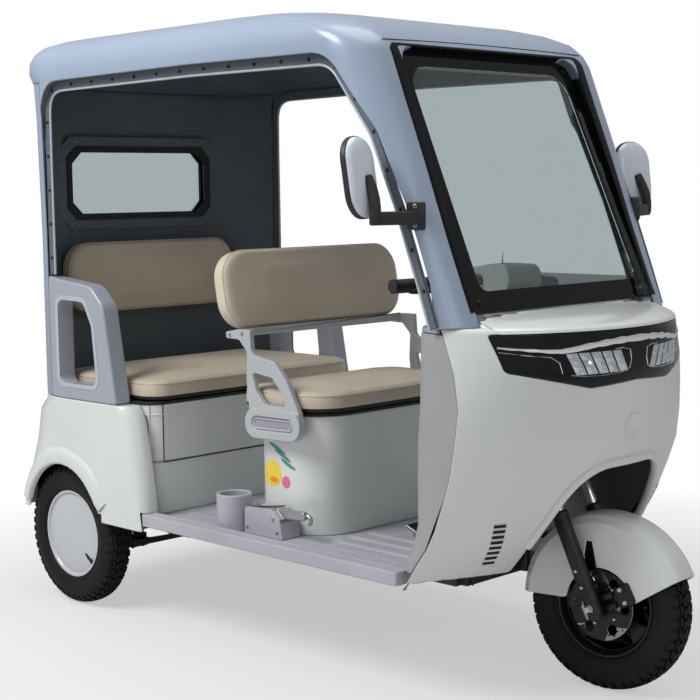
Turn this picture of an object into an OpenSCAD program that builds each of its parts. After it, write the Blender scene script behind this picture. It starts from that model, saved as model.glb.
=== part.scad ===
// Electric passenger tricycle with a cab roof.
// X runs forward from the rear axle, Y to the vehicle's left, Z up from the ground.
// Each node is moved back by mid_x, so that the origin is under the middle of the vehicle.

/* [Chassis] */
// Distance from the rear axle to the front axle
wheelbase = 1585; // [1500:5:1700]
// Half the distance between the rear tyres' middle planes
rear_track_half = 398; // [390:1:398]
// Overall tyre diameter
tyre_d = 410; // [396:2:414]
// Tyre width
tyre_w = 84; // [70:2:90]
// Rim diameter at the bead seat
rim_d = 254; // [240:2:264]
// Underside of the floor pan above the ground
floor_bottom = 281; // [270:1:290]
// Depth of the floor pan's edge
floor_edge = 34; // [26:1:44]
// Side of the square chassis tubes
frame_tube = 40; // [30:1:44]

/* [Body] */
// Half width of the passenger body
body_half = 455; // [452:1:470]
// Top of the rear fenders and of the seat boxes
waist = 606; // [596:1:616]
// Wall of the moulded body panels
panel_wall = 8; // [5:1:9]
// Wall of the double-skinned cab
cab_wall = 22; // [16:1:28]
// Depth of the cab around the windscreen
screen_wall = 45; // [36:1:56]
// Height of the joint between the cab and the front cowl
cab_joint = 879; // [874:1:884]
// Radius of the rear wheel openings
arch_r = 178; // [160:1:190]

/* [Windscreen] */
// Lower edge of the windscreen, distance ahead of the rear axle
screen_x = 1464; // [1458:1:1470]
// Lower edge of the windscreen above the ground
screen_z = 906; // [900:1:914]
// Lean of the windscreen from upright, degrees
screen_lean = 23.7; // [22:0.1:25]
// Length of the windscreen up its slope
screen_rise = 655; // [620:1:668]
// Half width of the windscreen's lower edge
screen_half_low = 343; // [330:1:346]
// Half width of the windscreen's upper edge
screen_half_high = 333; // [320:1:340]
// Width of the black border
screen_border = 48; // [40:1:56]
// Thickness of the glass
glass = 5; // [4:1:8]

/* [Seats] */
// Front face of the driver's seat box
driver_box_front = 905; // [880:1:930]
// Rear face of the driver's seat box
driver_box_back = 652; // [640:1:680]
// Half width of the driver's seat box
driver_box_half = 290; // [270:1:292]
// Thickness of the seat cushions
cushion = 78; // [60:1:90]
// Height of a backrest
backrest_h = 212; // [180:1:230]
// Thickness of a backrest
backrest_t = 66; // [50:1:70]
// Front face of the rear seat box
rear_box_front = 345; // [335:1:352]

/* [Steering] */
// Rake of the steering axis, degrees
rake = 25; // [23:0.5:27]
// How far the front axle lies ahead of the steering axis
fork_offset = 30; // [26:1:34]
// Turn of the front wheel to the left as it stands, degrees
parked_turn = 6; // [0:0.5:8]
// Half the distance between the fork legs
fork_half = 78; // [74:1:84]
// Radius of the steering stem
stem_r = 20; // [16:0.5:20]
// Half the width of the handlebar
bar_half = 348; // [330:1:360]

/* [Hidden] */
$fn = 64;
seat_gap = 0.3;
run_gap = 0.05;
past = 1;
wide = 600;

tyre_r = tyre_d / 2;
tread_r = tyre_w / 2;
front_x = wheelbase;
// The tables of sections are given for these sizes; their ends move with the real ones.
table_wheelbase = 1585;
table_half = 455;
stretch = wheelbase - table_wheelbase;
floor_top = floor_bottom + floor_edge - 14;
sill_top = floor_bottom + floor_edge;
sill_half = body_half - 9;
sill_front = front_x - 255;
pan_rim = 46;
sill_back = 250;

// The steered axle stands a little lower and further left than a straight one would.
axle_lean = sin(parked_turn) * sin(rake);
axle_yaw = sin(parked_turn) * cos(rake);
turned_dx = -fork_offset * (1 - cos(parked_turn)) * cos(rake);
turned_dz = -fork_offset * (1 - cos(parked_turn)) * sin(rake);
crown = tread_r * 0.15;
front_shift = tyre_r * (sqrt(1 - pow(axle_lean, 2)) - 1) + crown * axle_lean - turned_dz;
front_reach = tyre_r * sqrt(1 - pow(axle_yaw, 2)) + crown * axle_yaw + turned_dx - front_shift * tan(rake);

stem_foot = [front_x - fork_offset * cos(rake), 0, tyre_r - fork_offset * sin(rake)];
function stem_x(z) = stem_foot.x - (z - stem_foot.z) * tan(rake);
yoke_top = 352;
head_low = 356;
head_top = 494;
stem_top = 790;
axle_r = 8;
shaft_r = 14;
liner_x = front_x - 273;
liner_wall = 6;
down_r = 15;
down_x = liner_x + liner_wall + seat_gap + down_r;
bar_x = front_x - 350;
bar_z = 960;

rear_wall_x = -223;
door_back = -54;
roof_joint = 1500;
window_half = 272;
window_low = 1112;
window_high = 1326;
lamp_depth = 36;

seat_z = 612;
seal = 8;
rear_seat_back = -108;
bin_floor = 430;
bin_half = body_half - 58;
guard_wall = 55;
arm_y = driver_box_half + 16;
arm_wall = 16;
driver_back_half = driver_box_half + 44;
rear_back_half = body_half - 135;
rear_back_x = -108;
driver_back_x = 634;
driver_back_z = 829;
back_lean = 10;
rail_y = 220;
kick_z = 330;
spring_z = 215;
plate_pitch = 160;
plate_hole_r = 3.5;
cup_r = 39;

function unit(v) = v / norm(v);
function turn(p, a) = [p.x * cos(a) - p.y * sin(a), p.x * sin(a) + p.y * cos(a)];

// Points that round corner b between a and c to radius r
function corner(a, b, c, r, n) = r <= 0 ? [b] :
    let (u = unit(a - b), v = unit(c - b), half = acos(u * v) / 2)
    let (centre = b + unit(u + v) * r / sin(half), start = b + u * r / tan(half) - centre)
    let (end = b + v * r / tan(half) - centre)
    let (sweep = (180 - 2 * half) * sign(cross(start, end)))
    [for (i = [0 : n]) centre + turn(start, sweep * i / n)];

// Closed outline from rows of [across, up, corner radius]
function outline(rows, n = 6) = let (last = len(rows) - 1)
    [for (i = [0 : last]) let (a = rows[i == 0 ? last : i - 1], b = rows[i], c = rows[i == last ? 0 : i + 1])
        each corner([a.x, a.y], [b.x, b.y], [c.x, c.y], b.z, n)];

// Prism seen from the side, with rows of [x, z, radius]
module side_prism(rows, y0, y1) {
    translate([0, y1, 0]) rotate([90, 0, 0]) linear_extrude(y1 - y0) polygon(outline(rows));
}

// Prism seen from the front, with rows of [y, z, radius]
module front_prism(rows, x0, x1) {
    translate([x0, 0, 0]) rotate([90, 0, 90]) linear_extrude(x1 - x0) polygon(outline(rows));
}

// Prism seen from above, with rows of [x, y, radius]
module plan_prism(rows, z0, z1) {
    translate([0, 0, z0]) linear_extrude(z1 - z0) polygon(outline(rows));
}

function box_rows(x0, x1, y0, y1, r) = [[x0, y0, r], [x1, y0, r], [x1, y1, r], [x0, y1, r]];

module block(x0, x1, y0, y1, z0, z1) {
    translate([x0, y0, z0]) cube([x1 - x0, y1 - y0, z1 - z0]);
}

// Round bar between two points
module bar(a, b, r) {
    d = b - a;
    translate(a) rotate([0, acos(d.z / norm(d)), atan2(d.y, d.x)]) cylinder(h = norm(d), r = r);
}

// Ring of a body section seen from above: a rectangle with rounded ends
function body_ring(xr, xf, hw, rr, rf, n = 7) = [
    for (i = [0 : n]) [xf - rf + rf * cos(90 * i / n), hw - rf + rf * sin(90 * i / n)],
    for (i = [0 : n]) [xr + rr - rr * sin(90 * i / n), hw - rr + rr * cos(90 * i / n)],
    for (i = [0 : n]) [xr + rr - rr * cos(90 * i / n), -hw + rr - rr * sin(90 * i / n)],
    for (i = [0 : n]) [xf - rf + rf * sin(90 * i / n), -hw + rf - rf * cos(90 * i / n)]
];

// Ring of a nose section seen from above: an arc between the two door edges
function nose_ring(xn, hw, xd, back, n = 22) =
    let (h = xn - xd, r = (hw * hw + h * h) / (2 * h), half = asin(hw / r))
    [[xd - back, -hw], for (i = [0 : n]) [xn - r + r * cos(half * (2 * i / n - 1)),
        r * sin(half * (2 * i / n - 1))],
        [xd - back, hw]];

// Solid through a stack of rings at heights zs
module loft(rings, zs) {
    n = len(rings[0]);
    rows = len(rings);
    points = [for (k = [0 : rows - 1]) for (p = rings[k]) [p.x, p.y, zs[k]]];
    sides = [for (k = [0 : rows - 2]) for (i = [0 : n - 1]) let (j = (i + 1) % n)
        each [[k * n + i, (k + 1) * n + j, k * n + j], [k * n + i, (k + 1) * n + i, (k + 1) * n + j]]];
    floor_face = [for (i = [0 : n - 1]) i];
    top_face = [for (i = [n - 1 : -1 : 0]) (rows - 1) * n + i];
    polyhedron(points, concat(sides, [floor_face, top_face]), convexity = 6);
}

// Rows of [x, ...] whose front ends move with the wheelbase
function stretched(rows) = [for (r = rows) [for (i = [0 : len(r) - 1]) i == 0 && r[0] > 600 ? r[0] + stretch :
    r[i]]];

// Cab sections: height, rear, front, half width, rear corner radius, front corner radius
CAB = [
    [600, -223, 1600, 0, 228, 120],
    [cab_joint, -223, 1481, 0, 230, 116],
    [1072, -223, 1402, 0, 230, 105],
    [1250, -224, 1334, 2, 230, 95],
    [1400, -226, 1274, 4, 230, 95],
    [1499, -228, 1236, 6, 225, 100],
    [1530, -236, 1216, 8, 210, 105],
    [1560, -238, 1180, 4, 210, 110],
    [1585, -233, 1120, -14, 205, 120],
    [1605, -217, 1040, -44, 190, 130],
    [1620, -180, 940, -90, 180, 150],
    [1632, -120, 800, -155, 160, 150],
    [1640, 0, 600, -255, 120, 120]
];

x_back = min([for (r = CAB) r[1]]);
mid_x = (front_x + front_reach + x_back) / 2;

module cab_solid(wall, front_wall, z0, top) {
    use_rows = [for (r = CAB) if (r[0] - top <= CAB[len(CAB) - 1][0] - wall) r];
    loft([for (r = use_rows) body_ring(r[1] + wall, r[2] + stretch - front_wall, body_half + r[3] - wall,
        r[4] - wall, r[5] - wall)], [for (r = use_rows) r[0] <= 600 ? z0 : r[0] - top]);
}

// Through openings of the cab, seen from the side
DOOR = [
    [door_back, 500, 0], [door_back, 1310, 0], [door_back + 2, 1500, 90], [610, 1506, 0], [1120, 1502, 110],
    [1258, 1326, 160], [1338, 1150, 60], [1403, 977, 60], [1430, cab_joint - 8, 0], [1430, 500, 0]
];

// The windscreen's own frame: X out of the glass, Y across, Z up the slope
module screen_place() {
    translate([screen_x + stretch, 0, screen_z]) rotate([0, -screen_lean, 0]) children();
}

// Prism on the windscreen's outline, grown by grow and lengthened below by drop
module screen_prism(grow, x0, x1, drop = 0) {
    high = screen_half_high + grow;
    foot = -6 - grow - drop;
    top = screen_rise + grow;
    low = screen_half_low + grow + (screen_half_low - screen_half_high) * drop / (top - foot - drop);
    round_top = max(54 + grow, 20);
    front_prism([[-low, foot, 24], [low, foot, 24], [high, top, round_top], [-high, top, round_top]], x0, x1);
}

module cab_shell() {
    difference() {
        cab_solid(0, 0, 600, 0);
        cab_solid(cab_wall, screen_wall, 590, cab_wall);
        side_prism(stretched(DOOR), -wide, wide);
        screen_place() screen_prism(seat_gap, -3, 200, 200);
        screen_place() screen_prism(14 - screen_border, -200, 0, 200);
    }
}

module roof_shell() {
    color("lightsteelblue") intersection() {
        cab_shell();
        union() {
            block(door_back + seat_gap, 2 * front_x, -wide, wide, cab_joint, 1700);
            block(-400, door_back + 1, -wide, wide, roof_joint, 1700);
        }
    }
}

module rear_wall() {
    color("slategray") difference() {
        union() {
            intersection() {
                cab_shell();
                block(-400, door_back, -wide, wide, waist + seat_gap, roof_joint - seat_gap);
            }
            front_prism(box_rows(-window_half - 26, window_half + 26, window_low - 32, window_high + 24, 48),
                rear_wall_x + cab_wall - 4, rear_wall_x + cab_wall + 8);
            for (s = [-1, 1]) block(rear_wall_x + cab_wall - 2, rear_back_x - backrest_t - seat_gap,
                s * 150 - 30, s * 150 + 30,
                890, 980);
        }
        front_prism(window_rows(seat_gap), -400, rear_wall_x + 14);
        front_prism(window_rows(-10), -400, 0);
    }
}

function window_rows(grow) = let (w = window_half + grow, lo = window_low - grow, hi = window_high + grow,
    c = 34)
    [[-w, lo + c, 0], [-w + c, lo, 0], [w - c, lo, 0], [w, lo + c, 0],
        [w, hi - c, 0], [w - c, hi, 0], [-w + c, hi, 0], [-w, hi - c, 0]];

module rear_window() {
    color("lightcyan", 0.4) front_prism(window_rows(0), rear_wall_x + 14 - glass, rear_wall_x + 14);
}

module windscreen_border() {
    color("black") screen_place() difference() {
        screen_prism(0, -3, glass);
        screen_prism(-screen_border, -10, 20);
    }
}

module windscreen() {
    color("lightcyan", 0.4) screen_place() screen_prism(-screen_border - seat_gap, 0, glass);
}

// Nose sections: height, nose, half width at the door edge, door edge
NOSE = [
    [270, 1420, 425, 1310],
    [300, 1490, 432, 1335],
    [340, 1525, 438, 1366],
    [380, 1555, 440, 1398],
    [425, 1580, 440, 1423],
    [500, 1615, 440, 1452],
    [560, 1640, 440, 1471],
    [630, 1648, 438, 1482],
    [700, 1655, 430, 1486],
    [780, 1665, 427, 1472],
    [866, 1663, 424, 1438],
    [877, 1654, 422, 1430],
    [888, 1600, 412, 1424],
    [898, 1520, 400, 1416],
    [904, 1478, 388, 1410]
];
nose_low = NOSE[0][0];
nose_edge = NOSE[0][3] + stretch;
lamp_top = 866;

function nose_half(row) = row[2] + body_half - table_half;

// Body of the nose, inset by a wall, with its top lowered by as much
module nose_solid(inset, back = 0, z_extra = 0) {
    loft([for (r = NOSE) nose_ring(r[1] + stretch - inset, nose_half(r) - inset, r[3] + stretch, back)],
        [for (r = NOSE) r[0] == nose_low ? r[0] - z_extra :
            r[0] - (r[0] > lamp_top ? min(inset, panel_wall) : 0)]);
}

// Outline of the front wheel's opening, seen from the front
module wheel_opening() {
    front_prism([[-205, 100, 0], [205, 100, 0], [212, 380, 60], [150, 548, 120], [-150, 548, 120],
        [-212, 380, 60]],
        front_x - 285, front_x + 215);
}

// Outline of the lamp, seen from the front
module lamp_prism(grow) {
    a = 360 + grow;
    front_prism([[-a, 866 + grow, 6], [-342 - grow, 783 - grow, 14], [-150, 738 - grow, 60],
        [0, 746 - grow, 40],
        [150, 738 - grow, 60], [342 + grow, 783 - grow, 14], [a, 866 + grow, 6]], front_x - 235,
            front_x + 215);
}

pillar_in = screen_half_low - screen_border + 11;

module front_cowl() {
    color("whitesmoke") difference() {
        nose_solid(0);
        nose_solid(panel_wall, 40, 30);
        wheel_opening();
        lamp_prism(seat_gap);
        screen_place() screen_prism(seat_gap, -3 - seat_gap, 200);
        for (s = [-1, 1]) block(sill_back, 2 * front_x, s < 0 ? -wide : screen_half_low + 4,
            s < 0 ? -screen_half_low - 4 : wide, cab_joint - seat_gap, 1000);
        difference() {
            cab_solid(-seat_gap, -seat_gap, 600, 0);
            block(-wide, 2 * front_x, -wide, wide, 500, cab_joint - seat_gap);
            block(-wide, 2 * front_x, -pillar_in, pillar_in, 500, 1700);
        }
    }
}

module headlamp() {
    color("dimgray") intersection() {
        difference() {
            nose_solid(0);
            nose_solid(lamp_depth, 40, 30);
        }
        lamp_prism(0);
    }
}

// Leg shield behind the nose, its sides in line with the door edges
module inner_liner() {
    color("lightgray") difference() {
        union() {
            difference() {
                liner_solid(2, 0);
                liner_solid(2 + liner_wall, liner_wall);
            }
            stem_place() translate([0, 0, 500]) cylinder(h = 170, r = 44);
        }
        stem_place() translate([0, 0, 300]) cylinder(h = 500, r = 34);
        block(sill_back, 2 * front_x, -wide, wide, 200, sill_top + seat_gap);
    }
}

module liner_solid(side, back) {
    rows = [for (r = NOSE) if (r[0] >= 300 && r[0] <= 866) r];
    loft([for (r = rows) liner_ring(liner_x + back, r[3] + stretch - seat_gap + (back > 0 ? 40 : 0),
        nose_half(r) - side,
        110 - back)],
        [for (r = rows) r[0] + (r[0] <= 300 && back > 0 ? -10 : 0) + (r[0] >= 866 && back > 0 ? 10 : 0)]);
}

// Seen from above: a rounded rear wall with straight sides that run forward to xf
function liner_ring(xr, xf, hw, r, n = 8) = let (rr = min(r, xf - xr - 2))
    [[xf, hw], for (i = [0 : n]) [xr + rr - rr * sin(90 * i / n), hw - rr + rr * cos(90 * i / n)],
        for (i = [0 : n]) [xr + rr - rr * cos(90 * i / n), -hw + rr - rr * sin(90 * i / n)], [xf, -hw]];

// Frame of the steering stem: origin level with the front axle along the stem, Z up the stem
module stem_place() {
    translate(stem_foot) rotate([0, -rake, 0]) children();
}

module dashboard() {
    half = body_half - 37;
    middle = pillar_in - 6;
    step = front_x - 161;
    nose = front_x - 95;
    color("lightgray") plan_prism([[liner_x, -half, 108], [step, -half, 4], [step, -middle, 0],
        [nose, -middle, 20],
        [nose, middle, 20], [step, middle, 0], [step, half, 4], [liner_x, half, 108]], lamp_top + seat_gap,
            cab_joint - 1);
}

module floor_pan() {
    front = nose_edge - seat_gap;
    inner = sill_half - pan_rim;
    color("lightslategray") difference() {
        plan_prism([[sill_back, -sill_half, 0], [front, -sill_half, 6], [front, -inner, 0],
            [sill_front, -inner, 20],
            [sill_front, inner, 20], [front, inner, 0], [front, sill_half, 6], [sill_back, sill_half, 0]],
            floor_bottom, sill_top);
        plan_prism(box_rows(sill_back - past, sill_front - 26, -inner, inner, 8), floor_top, sill_top + past);
        translate([down_x, 0, 0]) cylinder(h = 400, r = down_r + seat_gap);
    }
    for (y = [-1, 1], k = [0 : 2])
        color("lightslategray") block(driver_box_front + 35, sill_front - 90, y * (150 + 60 * k) - 12,
            y * (150 + 60 * k) + 12, floor_top, floor_top + 5);
}

module chassis_frame() {
    t = frame_tube;
    color("black") difference() {
        union() {
            for (s = [-1, 1]) {
                block(130, sill_front - 18, s * rail_y - t / 2, s * rail_y + t / 2, floor_bottom - t,
                    floor_bottom);
                block(-205, 170, s * rail_y - t / 2, s * rail_y + t / 2, kick_z, kick_z + t);
                block(130, 170, s * rail_y - t / 2, s * rail_y + t / 2, floor_bottom - t, kick_z + t);
                for (x = [-100, 130]) block(x, x + t, s * rail_y - t / 2, s * rail_y + t / 2, kick_z,
                    bin_floor);
                block(-190, -166, s * rail_y - 16, s * rail_y + 16, spring_z + 4 + seat_gap, kick_z);
                block(288, 310, s * rail_y - 16, s * rail_y + 16, spring_z + 4 + seat_gap, floor_bottom - t);
            }
            for (x = [240, 620, 960, sill_front - 40]) block(x, x + t, -rail_y, rail_y, floor_bottom - t,
                floor_bottom);
            for (x = [-180, 130]) block(x, x + t, -rail_y, rail_y, kick_z, kick_z + t);
            translate([down_x, 0, floor_bottom - t]) cylinder(h = 620 - floor_bottom + t, r = down_r);
            stem_place() translate([0, 0, head_low]) cylinder(h = head_top - head_low, r = stem_r + 7);
            block(sill_front - 40, down_x, -down_r, down_r, floor_bottom - t, floor_bottom);
        }
        stem_place() translate([0, 0, head_low - 60]) cylinder(h = 400, r = stem_r + run_gap);
    }
}

module driver_seat_box() {
    color("whitesmoke") difference() {
        plan_prism(driver_rows(0), floor_top, seat_z);
        plan_prism(driver_rows(6), floor_top + 6, seat_z + past);
    }
}

function driver_rows(inset) = let (x0 = driver_box_back + inset, x1 = driver_box_front - inset,
    h = driver_box_half - inset)
    [[x0, -h, 60 - inset], [x1, -h, 110 - inset], [x1, h, 110 - inset], [x0, h, 60 - inset]];

module battery_pack() {
    color("darkslategray") block(driver_box_back + 40, driver_box_front - 60, 80 - driver_box_half,
        driver_box_half - 80, floor_top + 6, floor_top + 226);
}

module seat_seals() {
    color("black") {
        difference() {
            plan_prism(driver_rows(-3), seat_z, seat_z + seal);
            plan_prism(driver_rows(14), seat_z - past, seat_z + seal + past);
        }
        difference() {
            plan_prism(rear_box_rows(-3, rear_seat_back), waist, waist + seal);
            plan_prism(rear_box_rows(16, rear_seat_back), waist - past, waist + seal + past);
        }
    }
}

function rear_box_rows(inset, x0) = let (x1 = rear_box_front - inset, h = bin_half - inset)
    [[x0 + inset, -h, 10], [x1, -h, 62 - inset], [x1, h, 62 - inset], [x0 + inset, h, 10]];

module driver_cushion() {
    half = driver_box_half + 10;
    front = driver_box_front + 14;
    back = driver_box_back - 52;
    color("tan") plan_prism([[back, -half, 50], [front, -half, 110], [front, half, 110], [back, half, 50]],
        seat_z + seal + seat_gap, seat_z + seal + cushion - 6);
}

module rear_cushion() {
    half = bin_half - 7;
    front = rear_box_front + 6;
    color("tan") plan_prism([[rear_seat_back, -half, 20], [front, -half, 64], [front, half, 64],
        [rear_seat_back, half, 20]],
        waist + seal + seat_gap, waist + seal + cushion);
}

module backrest(half, h) {
    front_prism([[-half, 0, 80], [half, 0, 80], [half, h, 80], [-half, h, 80]], -backrest_t, 0);
}

module driver_backrest() {
    color("tan") translate([driver_back_x, 0, driver_back_z]) rotate([0, -back_lean, 0])
        backrest(driver_back_half, backrest_h);
}

module rear_backrest() {
    color("tan") translate([rear_back_x, 0, 830]) backrest(rear_back_half, backrest_h);
}

// Seat arms seen from the side, with rows of [x, z, corner radius]
ARM = [[582, 819.2, 3], [632, 828, 0], [678, 828, 4], [682, 764, 20], [768, 752, 30], [814, 706, 20],
    [868, 612, 10], [672, 590, 10],
    [660, 700, 10], [664, 770, 10], [634, 800, 8], [582, 802, 4]];
ARM_HOLE = [[682, 718, 8], [760, 708, 20], [794, 672, 20], [812, 636, 8], [730, 636, 20], [700, 668, 20]];

module driver_seat_frame() {
    color("lightgray") side_prism([[586, 819.9, 0], [628, 827.3, 0], [628, 806, 8], [586, 806, 8]],
        -arm_y - 4, arm_y + 4);
    color("lightgray") for (s = [-1, 1]) {
        y0 = s < 0 ? -arm_y - arm_wall : arm_y;
        pod = arm_y + 26;
        difference() {
            union() {
                side_prism(ARM, y0, y0 + arm_wall);
                side_prism([[662, 546, 38], [872, 552, 38], [872, 630, 38], [662, 626, 38]],
                    s < 0 ? -pod : arm_y,
                    s < 0 ? -arm_y : pod);
                side_prism([[690, 560, 20], [820, 564, 20], [820, 606, 20], [690, 604, 20]],
                    s < 0 ? -arm_y - past : driver_box_half, s < 0 ? -driver_box_half : arm_y + past);
            }
            side_prism(ARM_HOLE, -wide, wide);
            side_prism([[688, 568, 18], [846, 572, 18], [846, 608, 18], [688, 606, 18]],
                s < 0 ? -pod - past : pod - 6, s < 0 ? 6 - pod : pod + past);
        }
    }
}

module rear_seat_box() {
    color("whitesmoke") difference() {
        union() {
            plan_prism(rear_box_rows(0, rear_seat_back - 6), bin_floor, waist);
            plan_prism(rear_box_rows(0, 262), floor_top + seat_gap, bin_floor + past);
        }
        plan_prism(rear_box_rows(6, rear_seat_back - 6), bin_floor + 6, waist + past);
        plan_prism(rear_box_rows(6, 240), floor_top, bin_floor);
        difference() {
            plan_prism(rear_box_rows(-past, 220), 444, 448);
            plan_prism(rear_box_rows(2, 100), 440, 452);
        }
    }
}

// Rear body sections: height, rear, front, rear corner radius, front corner radius
TAIL = [
    [266, -215, 374, 20, 30],
    [311, -222, 370, 45, 34],
    [376, -225, 364, 95, 40],
    [467, -225, 350, 150, 46],
    [560, -224, 330, 180, 46],
    [590, -223, 316, 226, 46],
    [606, -223, 300, 228, 46]
];

module tail_solid(inset, extra) {
    top = TAIL[len(TAIL) - 1][0];
    loft([for (r = TAIL) body_ring(r[1] + inset, r[2] - inset, body_half - inset, max(r[3] - inset, 8),
        r[4] - inset)],
        [for (r = TAIL) r[0] == top ? waist + (extra > 0 ? -panel_wall : 0) :
            r[0] - (r[0] == TAIL[0][0] ? extra : 0)]);
}

module tail_shell() {
    difference() {
        tail_solid(0, 0);
        tail_solid(panel_wall, 30);
    }
}

module rear_fender(s) {
    arch_in = body_half - 35;
    difference() {
        intersection() {
            tail_shell();
            block(-400, 400, s < 0 ? -wide : bin_half + seat_gap, s < 0 ? -bin_half - seat_gap : wide, 200,
                700);
        }
        translate([-5, s < 0 ? -wide : arch_in, 235]) rotate([-90, 0, 0]) cylinder(h = wide - arch_in,
            r = arch_r);
        block(-160, 180, s < 0 ? -wide : arch_in, s < 0 ? -arch_in : wide, 100, 290);
        block(sill_back - past, 500, -sill_half - seat_gap, sill_half + seat_gap, 200, sill_top + seat_gap);
    }
}

module rear_fender_right() { color("whitesmoke") rear_fender(-1); }
module rear_fender_left() { color("whitesmoke") rear_fender(1); }

module rear_panel() {
    color("whitesmoke") difference() {
        intersection() {
            tail_shell();
            block(-400, 0, -bin_half, bin_half, 300, 700);
        }
        block(rear_seat_back - 6 - seat_gap, 0, -wide, wide, 300, 700);
        for (y = [-1, 1]) translate([-240, y * plate_pitch / 2, 400]) rotate([0, 90, 0]) cylinder(h = 40,
            r = plate_hole_r);
    }
}

module tail_lamps() {
    lamp_in = body_half - 205;
    lamp_out = body_half - 145;
    color("darkred") difference() {
        for (s = [-1, 1]) front_prism([[s * lamp_in, 500, 12], [s * lamp_out, 500, 12],
            [s * lamp_out, 585, 12],
            [s * lamp_in, 585, 12]], -237, -195);
        tail_solid(-seat_gap, 0);
    }
}

module plate_holder() {
    color("black") difference() {
        front_prism([[-115, 330, 10], [115, 330, 10], [115, 470, 10], [-115, 470, 10]], -230, -225);
        for (y = [-1, 1]) translate([-240, y * plate_pitch / 2, 400]) rotate([0, 90, 0]) cylinder(h = 20,
            r = plate_hole_r);
    }
}

// Side guard seen from the side, with rows of [x, z, corner radius]
GUARD = [[door_back + seat_gap, waist + seat_gap, 0], [266, waist + seat_gap, 10], [216, 880, 40],
    [160, 932, 60],
    [door_back + seat_gap, 954, 0]];
GUARD_HOLE = [[4, 652, 24], [182, 652, 24], [164, 820, 40], [128, 886, 30], [4, 890, 24]];

module side_guard(s) {
    y0 = s < 0 ? -body_half : body_half - guard_wall;
    difference() {
        intersection() {
            side_prism(GUARD, y0, y0 + guard_wall);
            cab_solid(0, 0, 600, 0);
        }
        side_prism(GUARD_HOLE, -wide, wide);
    }
}

module side_guard_right() { color("slategray") side_guard(-1); }
module side_guard_left() { color("slategray") side_guard(1); }

module cup_holder() {
    color("lightslategray") translate([driver_box_back - 20, -driver_box_half - 56, 0]) difference() {
        translate([0, 0, floor_top]) cylinder(h = 96, r = cup_r + 9);
        translate([0, 0, floor_top + 12]) cylinder(h = 96, r = cup_r);
    }
}

module parking_brake() {
    y = -driver_box_half - 10;
    color("lightslategray") difference() {
        side_prism([[690, floor_top, 0], [836, floor_top, 0], [826, 350, 20], [796, 378, 12],
            [690, 372, 12]], y - 64, y);
        block(716, 790, y - 50, y - 28, 330, 400);
    }
    color("gray") side_prism([[740, 340, 4], [790, 350, 4], [900, 358, 8], [900, 380, 8], [790, 374, 4],
        [740, 364, 4]],
        y - 47, y - 31);
}

module brake_pedal() {
    color("silver") {
        translate([sill_front - 270, -100, floor_top]) rotate([0, 20, 0]) translate([-22, -30, 20]) cube([44,
            60, 8]);
        block(sill_front - 278, sill_front - 262, -108, -92, floor_top, floor_top + 24);
    }
}

module rear_axle() {
    tube_half = rear_track_half - 78;
    color("dimgray") difference() {
        union() {
            translate([0, -tube_half, tyre_r]) rotate([-90, 0, 0]) cylinder(h = 2 * tube_half, r = 30);
            for (s = [-1, 1]) translate([0, s < 0 ? -tube_half - 14 : tube_half - 20, tyre_r]) rotate([-90,
                0, 0])
                cylinder(h = 34, r = 76);
            translate([0, -60, tyre_r]) rotate([-90, 0, 0]) cylinder(h = 150, r = 72);
            translate([20, 14, tyre_r]) rotate([0, 90, 0]) cylinder(h = 205, r = 62);
        }
        for (s = [-1, 1]) translate([0, s < 0 ? -tube_half - 40 : tube_half - 60, tyre_r]) rotate([-90, 0, 0])
            cylinder(h = 100, r = shaft_r + run_gap);
    }
}

module leaf_springs() {
    color("black") for (s = [-1, 1]) {
        side_prism([[-195, spring_z + 4, 4], [-160, spring_z + 4, 20], [-60, 163, 60], [60, 163, 60],
            [282, spring_z + 4, 20],
            [314, spring_z + 4, 4], [314, spring_z - 8, 4], [282, spring_z - 8, 20], [60, 143, 60],
                [-60, 143, 60],
            [-160, spring_z - 8, 20], [-195, spring_z - 8, 4]], s * rail_y - 25, s * rail_y + 25);
        block(-40, 40, s * rail_y - 30, s * rail_y + 30, 155, tyre_r - 30 - seat_gap);
    }
}

// Turned with the steering: the axle of the front wheel is then at its parked turn
module steered() {
    stem_place() translate([0, 0, front_shift / cos(rake)]) rotate([0, 0, parked_turn]) children();
}

// As steered, for shapes given in the straight vehicle frame
module steered_from_car() {
    steered() rotate([0, rake, 0]) translate([-stem_foot.x, 0, -stem_foot.z]) children();
}

module fork() {
    color("black") steered() {
        for (s = [-1, 1]) {
            translate([fork_offset, s * fork_half, -22]) cylinder(h = 248, r = 19);
            translate([fork_offset, s * fork_half, 200]) cylinder(h = yoke_top - 200, r = 13);
        }
        translate([fork_offset, -fork_half - 24, 0]) rotate([-90, 0, 0]) cylinder(h = 2 * fork_half + 48,
            r = axle_r);
        difference() {
            translate([0, 0, yoke_top - 26]) linear_extrude(26) polygon(outline([[-34, -30, 14],
                [fork_offset + 18, -fork_half - 18, 14],
                [fork_offset + 18, fork_half + 18, 14], [-34, 30, 14]]));
            for (s = [-1, 1]) translate([fork_offset, s * fork_half, 0]) cylinder(h = yoke_top + past,
                r = 12.9);
        }
        translate([0, 0, yoke_top - 20]) cylinder(h = stem_top - yoke_top + 20, r = stem_r);
    }
}

// Points of the handlebar, with its bend at the inner end of the grip
bar_bend = 223;
function bar_point(s, y) = let (out = max(y - bar_bend, 0))
    [bar_x - 20 * min(y / bar_bend, 1) - 0.26 * out, s * y, bar_z - 8 * min(y / bar_bend, 1) - 0.05 * out];

module stem_clamp(grow) {
    steered() translate([0, 0, stem_top - 40 - grow]) cylinder(h = 46 + 2 * grow, r = stem_r + 9.5 + grow);
}

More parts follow.
